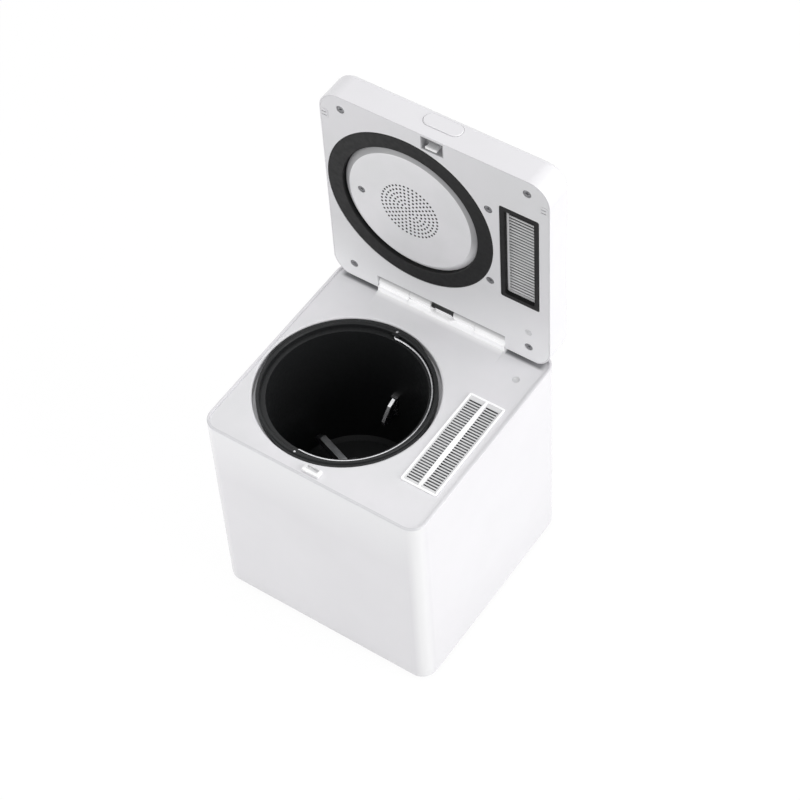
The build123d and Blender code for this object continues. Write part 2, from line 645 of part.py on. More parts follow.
# ---------------------------------------------------------------- electrics
def make_control_board():
    board = block(78, 136, -100, 20, 20, 21.6)
    parts = block(86, 112, -92, -66, 21, 44) + disc(8, 21, 46, 124, -84) + disc(6, 21, 40, 124, -64)
    parts += block(84, 100, -52, -30, 21, 30) + block(106, 132, -44, -20, 21, 36)
    parts += block(88, 128, 6, 14, 21, 30)
    for x in (82, 132):
        for y in (-96, 16):
            parts += disc(3, FOOT_H + 3, 20.5, x, y)
    return board + parts


def make_power_inlet():
    """A panel socket with three blades in an open shroud that faces back."""
    y1 = BASE_D / 2
    flange = block(-113, -77, y1 - WALL - 2, y1 - WALL, 25, 55)
    shroud = block(-110.6, -79.4, y1 - 24, y1 - 0.5, 28.4, 51.6)
    cavity = block(-107.6, -82.4, y1 - 18, y1 + 1, 31.2, 48.8)
    socket = flange + shroud - cavity
    for x, z in ((-102, 37), (-88, 37), (-95, 43)):
        socket += block(x - 1, x + 1, y1 - 20, y1 - 4, z - 2, z + 2)
    return socket


# ---------------------------------------------------------------- lid, drawn shut
def lid_outline(inset, z0, z1):
    return plate(LID_W - 2 * inset, LID_D - 2 * inset, LID_R - inset, z0, z1, 0, LID_MID)


def notch(extra=0.0):
    """The pocket at the back edge that the hinge turns in."""
    x = NOTCH_X + extra
    pocket = block(-x, x, NOTCH_Y - extra, LID_BACK + 1, FACE_Z - 1, FACE_Z + 21.6 + extra)
    return pocket


def swing_room():
    """What the lid's rear lower edge gives up, so that it turns clear of the casing's rim."""
    x = LID_W / 2 + 1
    corner = block(-x, x, HINGE_Y, LID_BACK + 1, FACE_Z - 1, HINGE_Z)
    return corner - barrel(SWING_R, -x - 1, x + 1)


def make_lid_cover():
    cover = lid_outline(0, FACE_Z, LID_TOP)
    cover = fillet(cover.edges().group_by(Axis.Z)[-1], 7.0)
    hollow = lid_outline(LID_WALL, FACE_Z - 1, LID_TOP - LID_ROOF)
    hollow = fillet(hollow.edges().group_by(Axis.Z)[-1], 3.0)
    cover -= hollow
    cover -= lid_outline(PANEL_IN - 0.15, FACE_Z - 1, FACE_Z + PANEL_T)
    # Walls of the hinge pocket, then the pocket itself.
    box = block(-NOTCH_X - 2, NOTCH_X + 2, NOTCH_Y - 2, LID_BACK - 2, FACE_Z + PANEL_T, FACE_Z + 23.6)
    cover += box
    cover -= notch()
    # Screw posts under the roof.
    for x, y in LID_SCREWS:
        cover += disc(4.5, FACE_Z + 8, LID_TOP - LID_ROOF + 0.5, x, y)
        cover -= disc(1.5, FACE_Z, LID_TOP - 8, x, y)
    # Button opening in the front wall.
    room = 2 * BUTTON_GAP
    cover -= pill(2 * BUTTON_X + room, BUTTON_H + room, LID_FRONT - 1, LID_FRONT + 4, BUTTON_Z)
    return cover - swing_room()


def make_lid_knuckles():
    """Two knuckles that reach into the pocket from the lid, on the hinge axis."""
    parts = []
    for side in (-1, 1):
        x0 = min(side * (KNUCKLE_IN + KNUCKLE_GAP), side * (KNUCKLE_OUT - KNUCKLE_GAP))
        x1 = max(side * (KNUCKLE_IN + KNUCKLE_GAP), side * (KNUCKLE_OUT - KNUCKLE_GAP))
        knuckle = barrel(BARREL_R, x0, x1)
        knuckle += block(x0, x1, NOTCH_Y, HINGE_Y, HINGE_Z + 2.0, FACE_Z + 21.6)
        knuckle -= barrel(PIN_R + PIN_FIT, x0 - 1, x1 + 1)
        parts.append(knuckle)
    return group(parts)


def make_lid_inner_panel():
    """The sheet inside the lid, with the gasket's pocket, the port's frame and the screw wells."""
    panel = lid_outline(PANEL_IN, FACE_Z, FACE_Z + PANEL_T)
    pocket_top = FACE_Z + PLATE_H + 2.0
    pocket = disc(GASKET_R + 2.6, FACE_Z + 0.5, pocket_top, GASKET_X, GASKET_Y)
    panel += pocket & lid_outline(LID_WALL + 0.1, FACE_Z, LID_TOP)
    panel -= disc(GASKET_R, FACE_Z - 1, FACE_Z + 2.0, GASKET_X, GASKET_Y)
    panel -= disc(GASKET_R - 0.8, FACE_Z, pocket_top - 2.0, GASKET_X, GASKET_Y)
    panel -= disc(42, FACE_Z, pocket_top + 1, GASKET_X, GASKET_Y)
    # The filter port's frame.
    panel += plate(PORT_W + 4, PORT_L + 4, 5, FACE_Z + 0.5, pocket_top, PORT_X, PORT_Y)
    panel -= plate(PORT_W, PORT_L, 2.6, FACE_Z - 1, FACE_Z + PORT_DEPTH, PORT_X, PORT_Y)
    panel -= plate(PORT_HOLE_W - 1.4, PORT_HOLE_L - 1.4, 1.0, FACE_Z, FACE_Z + 20, PORT_X, PORT_Y)
    panel -= plate(PORT_HOLE_W, PORT_HOLE_L, 1.2, FACE_Z + PORT_DEPTH + 0.9, FACE_Z + 20, PORT_X, PORT_Y)
    panel -= notch(0.4)
    # Window for the latch recess and seats for the screws, the bumpers and the magnet.
    window_x = RECESS_X + 1.2
    panel -= block(-window_x, window_x, RECESS_FRONT - 0.9, RECESS_BACK + 1.2, FACE_Z - 1, RECESS_TOP + 4)
    for x, y in LID_SCREWS:
        panel += disc(SCREW_WELL_R + 1.2, FACE_Z + 1, FACE_Z + 8.0, x, y)
    for x, y in LID_SCREWS:
        panel -= disc(SCREW_WELL_R, FACE_Z - 1, FACE_Z + 5.5, x, y) + disc(1.8, FACE_Z, FACE_Z + 9, x, y)
    panel += disc(SENSOR_R + 1.8, FACE_Z + 1, FACE_Z + 6.0, *MAGNET)
    panel -= disc(SENSOR_R + 0.1, FACE_Z - 1, FACE_Z + 5.0, *MAGNET)
    for x, y in BUMPERS:
        panel -= plate(BUMPER_W, BUMPER_L, 2.5, FACE_Z - 1, FACE_Z + 1.2, x, y)
    return panel - swing_room()


def make_lid_screws():
    head = SCREW_WELL_R - 0.4
    screw = turned([
        (0, 1.8), (head - 0.7, 1.8), (head, 2.4), (head, 5.5), (1.45, 5.5), (1.45, 22), (0, 22)])
    return group(Pos(x, y, FACE_Z) * screw for x, y in LID_SCREWS)


def make_lid_gasket():
    """A flat-faced ring with a soft groove, let into the panel round the vent plate."""
    z = FACE_Z
    return turned([
        (GASKET_IN_R, z + PLATE_H), (GASKET_IN_R, z + 0.2), (GASKET_IN_R + 0.8, z - 0.4),
        (GASKET_R - 1.4, z - 0.4), (GASKET_R, z + 0.6), (GASKET_R, z + 2.0),
        (GASKET_R - 0.8, z + 2.0), (GASKET_R - 0.8, z + PLATE_H)], GASKET_X, GASKET_Y)


def make_vent_plate():
    """A round plate with a bevelled edge and rings of small holes about its middle."""
    z = FACE_Z
    foot_in = PLATE_FOOT_R - 2.2
    cup = turned([
        (0, z), (PLATE_R - 0.6, z), (PLATE_R + 0.4, z + 0.4), (PLATE_FOOT_R, z + 5.0),
        (PLATE_FOOT_R, z + PLATE_H), (foot_in, z + PLATE_H), (foot_in, z + 6.2),
        (PLATE_R - 0.8, z + 2.2), (0, z + 2.2)], GASKET_X, GASKET_Y)
    cup += disc(6.0, z + 0.5, z + PLATE_H, *PLATE_SCREW)
    cup -= disc(4.8, z - 1, z + 3.5, *PLATE_SCREW) + disc(1.8, z, z + 9, *PLATE_SCREW)
    hole = prism(RegularPolygon(HOLE_R, 6), z - 1, z + 4)
    holes = [Pos(GASKET_X, GASKET_Y, 0) * hole]
    for row in range(1, HOLE_RINGS + 1):
        for k in range(6 * row):
            place = Rot(0, 0, 30 + 60 * k / row) * Pos(row * HOLE_PITCH, 0, 0)
            holes.append(Pos(GASKET_X, GASKET_Y, 0) * place * hole)
    return cup - holes


def make_plate_screw():
    screw = turned([(0, 0.9), (3.8, 0.9), (4.4, 1.5), (4.4, 3.5), (1.45, 3.5), (1.45, 7.8), (0, 7.8)])
    return Pos(PLATE_SCREW[0], PLATE_SCREW[1], FACE_Z) * screw


def make_port_gasket():
    frame = plate(PORT_W, PORT_L, 2.6, FACE_Z - 0.4, FACE_Z + PORT_DEPTH, PORT_X, PORT_Y)
    frame = chamfer(frame.edges().group_by(Axis.Z)[0], 0.7)
    return frame - plate(PORT_W - 2 * PORT_BAND, PORT_L - 2 * PORT_BAND, 2.0, 0, 400, PORT_X, PORT_Y)


def make_filter_port():
    """A thin frame of slanted slats behind the rectangular gasket."""
    z = FACE_Z + PORT_DEPTH + 0.9
    h = 2.6
    inside = PORT_HOLE_L - 1.6
    frame = plate(PORT_HOLE_W, PORT_HOLE_L, 1.2, z, z + h, PORT_X, PORT_Y)
    frame -= plate(PORT_HOLE_W - 3, inside, 0.4, z - 1, z + h + 1, PORT_X, PORT_Y)
    pitch = inside / SLATS
    slat = Rot(SLAT_TILT, 0, 0) * Box(PORT_HOLE_W - 2, SLAT_W, SLAT_T)
    for k in range(SLATS):
        frame += Pos(PORT_X, PORT_Y - inside / 2 + pitch * (k + 0.5), z + h / 2) * slat
    return frame


def make_latch_housing():
    """The cup behind the panel that the strike enters, slotted for the catch."""
    x = RECESS_X + 1.2
    cup = block(-x, x, RECESS_FRONT - 0.9, RECESS_BACK + 1.2, FACE_Z + 0.1, RECESS_TOP + 1.2)
    cup -= block(-RECESS_X, RECESS_X, RECESS_FRONT, RECESS_BACK, FACE_Z - 1, RECESS_TOP)
    cup -= block(-7.6, 7.6, -132.6, -127.0, FACE_Z, RECESS_TOP + 3)
    return cup


def make_latch_catch():
    """A hooked slider that the button pushes back against the spring."""
    low = RECESS_TOP + 2.2
    slide = block(-7, 7, -138.0, -124.0, low, low + 2.4)
    leg = block(-7, 7, -132.1, -130.7, DECK_Z + 0.7, low + 0.3)
    hook = block(-7, 7, -133.8, -130.7, DECK_Z + 0.7, DECK_Z + 2.1)
    arm = block(-7, 7, -138.0, -135.8, low, BUTTON_Z + 6)
    return slide + leg + hook + arm


def make_open_button():
    """A pill-shaped key with a softened edge and a flange that stops it behind the wall."""
    key = pill(2 * BUTTON_X, BUTTON_H, LID_FRONT - 1.0, LID_FRONT + 6.0, BUTTON_Z)
    key = fillet(key.edges().group_by(Axis.Y)[0], 1.2)
    ears = pill(2 * BUTTON_X + 6, BUTTON_H - 3, LID_FRONT + LID_WALL + 0.3, LID_FRONT + 4.5, BUTTON_Z)
    stem = block(-7, 7, LID_FRONT + 5.0, -138.0, BUTTON_Z - 7, BUTTON_Z + 7)
    return key + ears + stem


def make_button_spring():
    """The return spring's envelope, from the slider's arm back to its seat."""
    middle = Pos(0, (SPRING_FRONT + SPRING_BACK) / 2, BUTTON_Z - 3.0) * Rot(90, 0, 0)
    return middle * Cylinder(4.0, SPRING_BACK - SPRING_FRONT) - middle * Cylinder(3.0, 40)


def make_spring_seat():
    z = BUTTON_Z - 3.0
    return block(-8, 8, SPRING_BACK, SPRING_BACK + 3, z - 7, LID_TOP - LID_ROOF)


def make_bumpers():
    """Two slotted pads that meet the casing's rim towards the front corners."""
    pad = plate(BUMPER_W, BUMPER_L, 2.5, FACE_Z - 0.6, FACE_Z + 1.2)
    for y in (-2.4, 2.4):
        pad -= block(-BUMPER_W, BUMPER_W / 2 - 1.6, y - 0.6, y + 0.6, FACE_Z - 1, FACE_Z + 0.3)
    return group(Pos(x, y, 0) * pad for x, y in BUMPERS)


def make_sensor_magnet():
    return disc(SENSOR_R, FACE_Z + 0.3, FACE_Z + 5, *MAGNET)


def make_air_channel():
    """The flat hood that leads air from the vent plate across to the filter port."""
    z0 = FACE_Z + PLATE_H + 2.0
    hood = plate(196, 88, 10, z0, z0 + 12, 34, -18) - plate(192, 84, 8, z0 - 1, z0 + 10, 34, -18)
    return hood


def make_touch_board():
    board = plate(120, 40, 3, LID_TOP - 8.5, LID_TOP - 6.9, 0, -92)
    for x in (-50, 50):
        board += disc(3, LID_TOP - 7, LID_TOP - LID_ROOF, x, -92)
    for k in range(4):
        board += disc(6, LID_TOP - 7, LID_TOP - 4.5, -30 + 20 * k, -92)
    return board


FIXED_PIECES = {
    "body_shell": make_body_shell, "base_plate": make_base_plate, "feet": make_feet,
    "base_screws": make_base_screws, "deck_panel": make_deck_panel, "latch_strike": make_latch_strike,
    "lid_sensor": make_lid_sensor, "hinge_block": make_hinge_block, "hinge_pins": make_hinge_pins,
    "harness_tube": make_harness_tube, "heated_chamber": make_chamber, "heater_plate": make_heater_plate,
    "heating_element": make_heating_element, "drive_frame": make_drive_frame,
    "gearbox_case": make_gearbox_case, "gearbox_cover": make_gearbox_cover, "drive_bearings": make_bearings,
    "idler_pin": make_idler_pin, "drive_gear": make_drive_gear, "drive_shaft": make_drive_shaft,
    "idler_gear": make_idler_gear, "motor_pinion": make_motor_pinion, "motor_shaft": make_motor_shaft,
    "drive_motor": make_drive_motor, "bucket": make_bucket, "bucket_bush": make_bucket_bush,
    "shaft_seal": make_shaft_seal, "handle_lugs": make_handle_lugs, "lug_rivets": make_lug_rivets,
    "bucket_handle": make_bucket_handle, "agitator": make_agitator, "fixed_cutters": make_fixed_cutters,
    "filter_grille": make_filter_grille, "filter_cartridge": make_filter_cartridge,
    "carbon_pack": make_carbon_pack, "filter_well": make_filter_well, "fan_housing": make_fan_housing,
    "exhaust_duct": make_exhaust_duct, "fan_impeller": make_fan_impeller, "fan_motor": make_fan_motor,
    "control_board": make_control_board, "power_inlet": make_power_inlet,
}

LID_PIECES = {
    "lid_cover": make_lid_cover, "lid_knuckles": make_lid_knuckles, "lid_inner_panel": make_lid_inner_panel,
    "lid_screws": make_lid_screws, "lid_gasket": make_lid_gasket, "vent_plate": make_vent_plate,
    "vent_plate_screw": make_plate_screw, "port_gasket": make_port_gasket, "filter_port": make_filter_port,
    "latch_housing": make_latch_housing, "latch_catch": make_latch_catch, "open_button": make_open_button,
    "button_spring": make_button_spring, "spring_seat": make_spring_seat, "lid_bumpers": make_bumpers,
    "sensor_magnet": make_sensor_magnet, "air_channel": make_air_channel, "touch_board": make_touch_board,
}

for node, maker in FIXED_PIECES.items():
    save(maker(), node)
for node, maker in LID_PIECES.items():
    save(open_lid(maker()), node)
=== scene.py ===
"""Looks for the electric food waste composter: finishes, fine pieces, studio light and camera.

Metres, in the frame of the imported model: +Z up, the front faces -Y and the lid stands open.
"""
import math
import bmesh
import bpy
from mathutils import Matrix, Vector


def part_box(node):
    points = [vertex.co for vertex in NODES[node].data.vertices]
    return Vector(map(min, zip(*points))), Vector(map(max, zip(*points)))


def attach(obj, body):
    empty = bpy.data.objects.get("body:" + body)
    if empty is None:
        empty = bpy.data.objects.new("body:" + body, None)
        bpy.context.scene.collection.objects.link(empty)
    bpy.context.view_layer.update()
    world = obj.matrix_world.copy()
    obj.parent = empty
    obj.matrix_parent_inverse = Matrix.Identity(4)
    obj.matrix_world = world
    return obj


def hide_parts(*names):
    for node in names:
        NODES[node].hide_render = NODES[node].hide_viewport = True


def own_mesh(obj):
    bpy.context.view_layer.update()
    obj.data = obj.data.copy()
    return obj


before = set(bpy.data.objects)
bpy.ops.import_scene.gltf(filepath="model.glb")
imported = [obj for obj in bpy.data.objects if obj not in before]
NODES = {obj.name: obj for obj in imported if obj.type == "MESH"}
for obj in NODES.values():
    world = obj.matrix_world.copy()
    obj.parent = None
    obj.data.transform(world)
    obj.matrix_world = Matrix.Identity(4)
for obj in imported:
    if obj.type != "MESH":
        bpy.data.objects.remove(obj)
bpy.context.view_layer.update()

MM = 0.001
WELD = 1e-7
NODE_WELD = 1e-6
WHITE = (1.0, 1.0, 1.0, 1.0)

# ---------------------------------------------------------------- camera
AIM = Vector((0.0281, -0.0113, 0.3014))
DISTANCE = 2.78
AZIMUTH = math.radians(37.478)
ELEVATION = math.radians(51.343)
ROLL = math.radians(-4.340)
LENS_MM = 113.12
SENSOR_MM = 36.0
CLIP_END = 50.0


def add_camera():
    """A level camera looks along AZIMUTH and ELEVATION, then rolls about its own axis."""
    back = Vector((math.sin(AZIMUTH) * math.cos(ELEVATION),
                   -math.cos(AZIMUTH) * math.cos(ELEVATION),
                   math.sin(ELEVATION)))
    level_right = Vector((math.cos(AZIMUTH), math.sin(AZIMUTH), 0.0))
    level_up = back.cross(level_right)
    right = math.cos(ROLL) * level_right + math.sin(ROLL) * level_up
    up = math.cos(ROLL) * level_up - math.sin(ROLL) * level_right
    data = bpy.data.cameras.new("camera")
    data.lens = LENS_MM
    data.sensor_width = SENSOR_MM
    data.clip_end = CLIP_END
    camera = bpy.data.objects.new("camera", data)
    bpy.context.scene.collection.objects.link(camera)
    turn = Matrix((right, up, back)).transposed().to_4x4()
    camera.matrix_world = Matrix.Translation(AIM + DISTANCE * back) @ turn
    bpy.context.scene.camera = camera


add_camera()


# ---------------------------------------------------------------- materials
def linear(level):
    """One sRGB level from 0 to 255 as linear light."""
    c = level / 255.0
    return c / 12.92 if c <= 0.04045 else ((c + 0.055) / 1.055) ** 2.4


def colour(r, g, b):
    """Three sRGB levels as a linear colour."""
    return (linear(r), linear(g), linear(b), 1.0)


def maths(tree, operation, *sources):
    """The output of a new math node that takes one or two other outputs."""
    made = tree.nodes.new("ShaderNodeMath")
    made.operation = operation
    for source, target in zip(sources, made.inputs):
        tree.links.new(source, target)
    return made.outputs[0]


class Finish:
    """A principled material with helpers for the procedural detail that goes on top.

    Colours are sRGB levels, and sizes and places are metres in the frame of the model.
    """

    NOISE_DETAIL = 3.0
    BUMP_DETAIL = 2.0
    NOISE_ROUGHNESS = 0.55
    ROUGHNESS_NOISE = (0.3, 0.7)
    COLOUR_NOISE = (0.35, 0.65)
    OPENNESS = (0.2, 0.75)
    OPENNESS_SAMPLES = 8

    def __init__(self, name, base, roughness, metallic, specular):
        self.material = bpy.data.materials.new(name)
        self.material.use_nodes = True
        self.tree = self.material.node_tree
        self.shader = self.tree.nodes["Principled BSDF"]
        self.base = colour(*base)
        self.roughness = roughness
        self.shader.inputs["Base Color"].default_value = self.base
        self.shader.inputs["Roughness"].default_value = roughness
        self.shader.inputs["Metallic"].default_value = metallic
        self.shader.inputs["Specular IOR Level"].default_value = specular
        self.coords = self.tree.nodes.new("ShaderNodeTexCoord")
        self.tint = None

    def node(self, kind, values):
        """A new node with some of its inputs set by name."""
        made = self.tree.nodes.new(kind)
        for key, value in values.items():
            made.inputs[key].default_value = value
        return made

    def link(self, source, target):
        self.tree.links.new(source, target)

    def noise(self, size, detail):
        """Fractal noise whose cells are about size across."""
        made = self.node("ShaderNodeTexNoise", {"Scale": 1.0 / size, "Detail": detail,
                                                "Roughness": self.NOISE_ROUGHNESS})
        self.link(self.coords.outputs["Object"], made.inputs["Vector"])
        return made.outputs["Fac"]

    def ramp(self, source, low, high, start, end):
        """From start to end while the source goes from low to high."""
        made = self.node("ShaderNodeMapRange", {"From Min": low, "From Max": high,
                                                "To Min": start, "To Max": end})
        self.link(source, made.inputs["Value"])
        return made.outputs["Result"]

    def split(self, turned=False):
        """X, Y and Z of the place, or of the normal where turned."""
        made = self.tree.nodes.new("ShaderNodeSeparateXYZ")
        self.link(self.coords.outputs["Normal" if turned else "Object"], made.inputs[0])
        return made.outputs

    def toward(self, other, factor):
        """The colour so far, mixed towards another by a factor that comes from nodes."""
        mix = self.tree.nodes.new("ShaderNodeMix")
        mix.data_type = "RGBA"
        mix.inputs["A"].default_value = self.base
        mix.inputs["B"].default_value = colour(*other)
        if self.tint:
            self.link(self.tint, mix.inputs["A"])
        self.link(factor, mix.inputs["Factor"])
        self.tint = mix.outputs["Result"]
        self.link(self.tint, self.shader.inputs["Base Color"])

    def vary_roughness(self, spread, size):
        """Roughness that wanders by spread to either side, in cells of a size."""
        varied = self.ramp(self.noise(size, self.NOISE_DETAIL), *self.ROUGHNESS_NOISE,
                           self.roughness - spread, self.roughness + spread)
        self.link(varied, self.shader.inputs["Roughness"])

    def vary_colour(self, other, size, share):
        """Patches of another colour, of about a size."""
        noise = self.noise(size, self.NOISE_DETAIL)
        self.toward(other, self.ramp(noise, *self.COLOUR_NOISE, 0.0, share))

    def bump(self, size, height):
        """An uneven surface of a height, in cells of a size."""
        made = self.node("ShaderNodeBump", {"Strength": 1.0, "Distance": height})
        self.link(self.noise(size, self.BUMP_DETAIL), made.inputs["Height"])
        self.link(made.outputs["Normal"], self.shader.inputs["Normal"])

    def painted_crevice_shade(self, other, reach, share=1.0):
        """Painted shade: the colour darkens where surfaces meet within reach, as ambient occlusion
        would.
        """
        made = self.node("ShaderNodeAmbientOcclusion", {"Distance": reach})
        made.samples = self.OPENNESS_SAMPLES
        self.toward(other, self.ramp(made.outputs["AO"], *self.OPENNESS, share, 0.0))

    def along(self, other, axis, start, end, share=1.0, turned=False):
        """Mixed towards another colour from start to end of one axis of the place or normal."""
        self.toward(other, self.ramp(self.split(turned)[axis], start, end, 0.0, share))

    def zone(self, other, limits, share=1.0, turned=False):
        """Mixed towards another colour where all limits hold for the place or the normal.

        A limit is (axis, start, end). X of the place is taken without its sign.
        """
        values = self.split(turned)
        factor = None
        for axis, start, end in limits:
            value = values[axis]
            if axis == "X" and not turned:
                value = maths(self.tree, "ABSOLUTE", value)
            inside = self.ramp(value, start, end, 0.0, 1.0 if factor else share)
            factor = maths(self.tree, "MULTIPLY", factor, inside) if factor else inside
        self.toward(other, factor)

    def ring(self, other, centre, start, end, low, high):
        """Mixed towards another colour from start to end of the distance to a centre.

        It shows fully above high and not at all below low.
        """
        far = self.tree.nodes.new("ShaderNodeVectorMath")
        far.operation = "DISTANCE"
        far.inputs[1].default_value = centre
        self.link(self.coords.outputs["Object"], far.inputs[0])
        outside = self.ramp(far.outputs["Value"], start, end, 0.0, 1.0)
        above = self.ramp(self.split()["Z"], low, high, 0.0, 1.0)
        self.toward(other, maths(self.tree, "MULTIPLY", outside, above))

    def glow(self, strength):
        """Painted light: the surface glows with a little light of its own, though it is no lamp.
        """
        self.shader.inputs["Emission Color"].default_value = WHITE
        self.shader.inputs["Emission Strength"].default_value = strength


# Size and height of the bumps.
GLOSS_BUMPS = (0.006, 0.000012)
SATIN_BUMPS = (0.0007, 0.00001)
MOULD_BUMPS = (0.0009, 0.000008)
METAL_BUMPS = (0.0006, 0.00001)
RUBBER_BUMPS = (0.0005, 0.00002)

# Finish: material, base colour, colour and size of its patches, then roughness with its spread
# and the size of its cells, and the bumps.
TEXTURES = {
    "casing": ("casing_gloss", (233, 232, 235), (230, 229, 232), 0.12,
               (0.22, 0.03, 0.05), GLOSS_BUMPS),
    "cover": ("cover_gloss", (235, 234, 237), (232, 231, 234), 0.12,
              (0.22, 0.03, 0.05), GLOSS_BUMPS),
    "deck": ("deck_satin", (233, 232, 235), (228, 228, 230), 0.08,
             (0.42, 0.05, 0.02), SATIN_BUMPS),
    "bead": ("bead_satin", (226, 226, 228), (220, 220, 222), 0.02,
             (0.5, 0.05, 0.01), SATIN_BUMPS),
    "panel": ("panel_satin", (228, 227, 230), (225, 225, 227), 0.08,
              (0.42, 0.05, 0.02), SATIN_BUMPS),
    "plate": ("plate_satin", (237, 236, 239), (231, 231, 233), 0.06,
              (0.34, 0.05, 0.02), (0.0007, 0.000008)),
    # The bright finish also carries a painted glow, set in shade_hinge.
    "bright": ("bright_plastic_painted_glow", (250, 250, 251), (247, 247, 248), 0.05,
               (0.3, 0.04, 0.02), MOULD_BUMPS),
    "strike": ("strike_plastic", (234, 234, 235), (231, 231, 232), 0.05,
               (0.3, 0.04, 0.02), MOULD_BUMPS),
    "tongue": ("catch_plastic", (250, 250, 251), (247, 247, 248), 0.05,
               (0.3, 0.04, 0.02), MOULD_BUMPS),
    # Painted shade: the latch housing is grey to stand in for the shade inside its recess.
    "recess": ("recess_painted_shade", (176, 176, 178), (168, 168, 170), 0.02,
               (0.45, 0.05, 0.02), MOULD_BUMPS),
    "grille": ("grille_plastic", (228, 228, 229), (224, 224, 225), 0.05,
               (0.34, 0.04, 0.02), MOULD_BUMPS),
    "slats": ("slat_plastic", (244, 244, 245), (239, 239, 240), 0.03,
              (0.4, 0.04, 0.02), MOULD_BUMPS),
    "rubber": ("black_rubber", (36, 36, 37), (31, 31, 32), 0.01,
               (0.62, 0.08, 0.006), RUBBER_BUMPS),
    "gasket": ("gasket_rubber", (30, 30, 31), (26, 26, 27), 0.01,
               (0.62, 0.08, 0.006), RUBBER_BUMPS),
    "dark": ("dark_plastic", (30, 30, 31), (25, 25, 26), 0.02,
             (0.5, 0.06, 0.01), (0.0006, 0.00002)),
    "coat": ("bucket_coat", (27, 28, 29), (44, 45, 46), 0.0012,
             (0.42, 0.08, 0.004), (0.0008, 0.00003)),
    "wire": ("stainless_wire", (196, 196, 198), (180, 180, 182), 0.01,
             (0.3, 0.06, 0.004), METAL_BUMPS),
    "steel": ("plated_steel", (205, 205, 206), (190, 190, 192), 0.01,
              (0.26, 0.06, 0.004), METAL_BUMPS),
    "screw": ("screw_steel", (158, 158, 161), (130, 130, 133), 0.002,
              (0.5, 0.1, 0.002), (0.0006, 0.00002)),
    "alloy": ("cast_alloy", (178, 180, 182), (160, 162, 165), 0.01,
              (0.38, 0.1, 0.003), (0.0008, 0.00004)),
    "sensor": ("sensor_window", (214, 214, 215), (208, 208, 210), 0.004,
               (0.3, 0.05, 0.004), (0.0009, 0.00001)),
    "magnet": ("magnet_cover", (226, 226, 228), (206, 206, 208), 0.002,
               (0.42, 0.05, 0.004), (0.0009, 0.00002)),
    "grey": ("grey_plastic", (120, 122, 124), (110, 112, 114), 0.03,
             (0.5, 0.06, 0.01), (0.0008, 0.00003)),
    "brass": ("sintered_bronze", (170, 130, 80), (140, 105, 62), 0.003,
              (0.45, 0.1, 0.002), (0.0004, 0.00002)),
    "board": ("circuit_board", (24, 84, 52), (18, 64, 40), 0.004,
              (0.4, 0.08, 0.006), (0.002, 0.00003)),
    "carbon": ("activated_carbon", (26, 26, 26), (44, 43, 42), 0.003,
               (0.9, 0.05, 0.003), (0.003, 0.0009)),
    "ceramic": ("heater_band", (120, 70, 52), (90, 52, 40), 0.006,
                (0.6, 0.1, 0.004), (0.001, 0.00004)),
}
METALLIC = {"wire": 1.0, "steel": 1.0, "screw": 0.55, "alloy": 1.0, "brass": 1.0}
SPECULAR = {"casing": 0.45, "cover": 0.45, "rubber": 0.3, "gasket": 0.3, "dark": 0.4, "coat": 0.24}
PATCH_SHARE = {"coat": 0.6}
CREVICE_REACH = 3.0 * MM


def textured(name):
    """A finish with the texture of its row."""
    material, base, patches, patch_size, (roughness, spread, cell), bumps = TEXTURES[name]
    made = Finish(material, base, roughness, METALLIC.get(name, 0.0), SPECULAR.get(name, 0.5))
    made.vary_roughness(spread, cell)
    made.vary_colour(patches, patch_size, PATCH_SHARE.get(name, 1.0))
    made.bump(*bumps)
    return made


def shade_casing(casing):
    """Painted light on the upper front, a painted highlight on the front corner, a painted shade
    line along the front's top edge and painted shade in crevices.
    """
    low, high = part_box("body_shell")
    front_wall = ("Y", low.y + 13.6 * MM, low.y + 6.6 * MM)
    upper_part = ("Z", high.z - 87.0 * MM, high.z - 12.0 * MM)
    top_edge = ("Z", high.z - 2.5 * MM, high.z - 0.5 * MM)
    facing_corner = [("X", 0.2, 0.6), ("Y", -0.15, -0.5), ("Z", 0.5, 0.1)]
    # Painted light: the upper front is lighter.
    casing.zone((241, 241, 243), [front_wall, upper_part])
    # Painted highlight on the rounded front corner, found by its normal.
    casing.zone((243, 243, 244), facing_corner, turned=True)
    # Painted shade along the front's top edge.
    casing.zone((216, 216, 219), [front_wall, top_edge])
    # Painted shade where surfaces meet.
    casing.painted_crevice_shade((120, 120, 122), CREVICE_REACH, 0.4)


def shade_cover(cover):
    """A painted highlight on the rounded corner at the upper right of the lid, and painted shade
    in crevices.
    """
    facing_corner = [("X", 0.2, 0.6), ("Z", 0.15, 0.5), ("Y", 0.5, 0.1)]
    # Painted highlight, found by the normal.
    cover.zone((243, 243, 244), facing_corner, turned=True)
    # Painted shade where surfaces meet.
    cover.painted_crevice_shade((120, 120, 122), CREVICE_REACH, 0.3)


def shade_deck(deck):
    """Painted shade in crevices and under the lid beside the hinge, and painted light on the riser
    before the hinge.
    """
    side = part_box("deck_panel")[1].x
    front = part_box("hinge_block")[0].y
    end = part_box("hinge_block")[1].x
    lid_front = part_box("lid_inner_panel")[0].y
    beside_hinge = [("Y", lid_front - 3.4 * MM, lid_front + 0.1 * MM),
                    ("X", end + 1.1 * MM, end + 1.9 * MM),
                    ("X", side - 2.75 * MM, side - 9.75 * MM)]
    before_hinge = [("Y", front - 7.1 * MM, front - 0.4 * MM),
                    ("X", end + 2.3 * MM, end - 2.7 * MM)]
    # Painted shade where surfaces meet.
    deck.painted_crevice_shade((150, 150, 152), CREVICE_REACH, 0.3)
    # Painted shadow under the lid's edge beside the hinge.
    deck.zone((145, 145, 148), beside_hinge)
    # Painted light on the riser before the hinge.
    deck.zone((252, 252, 253), before_hinge)


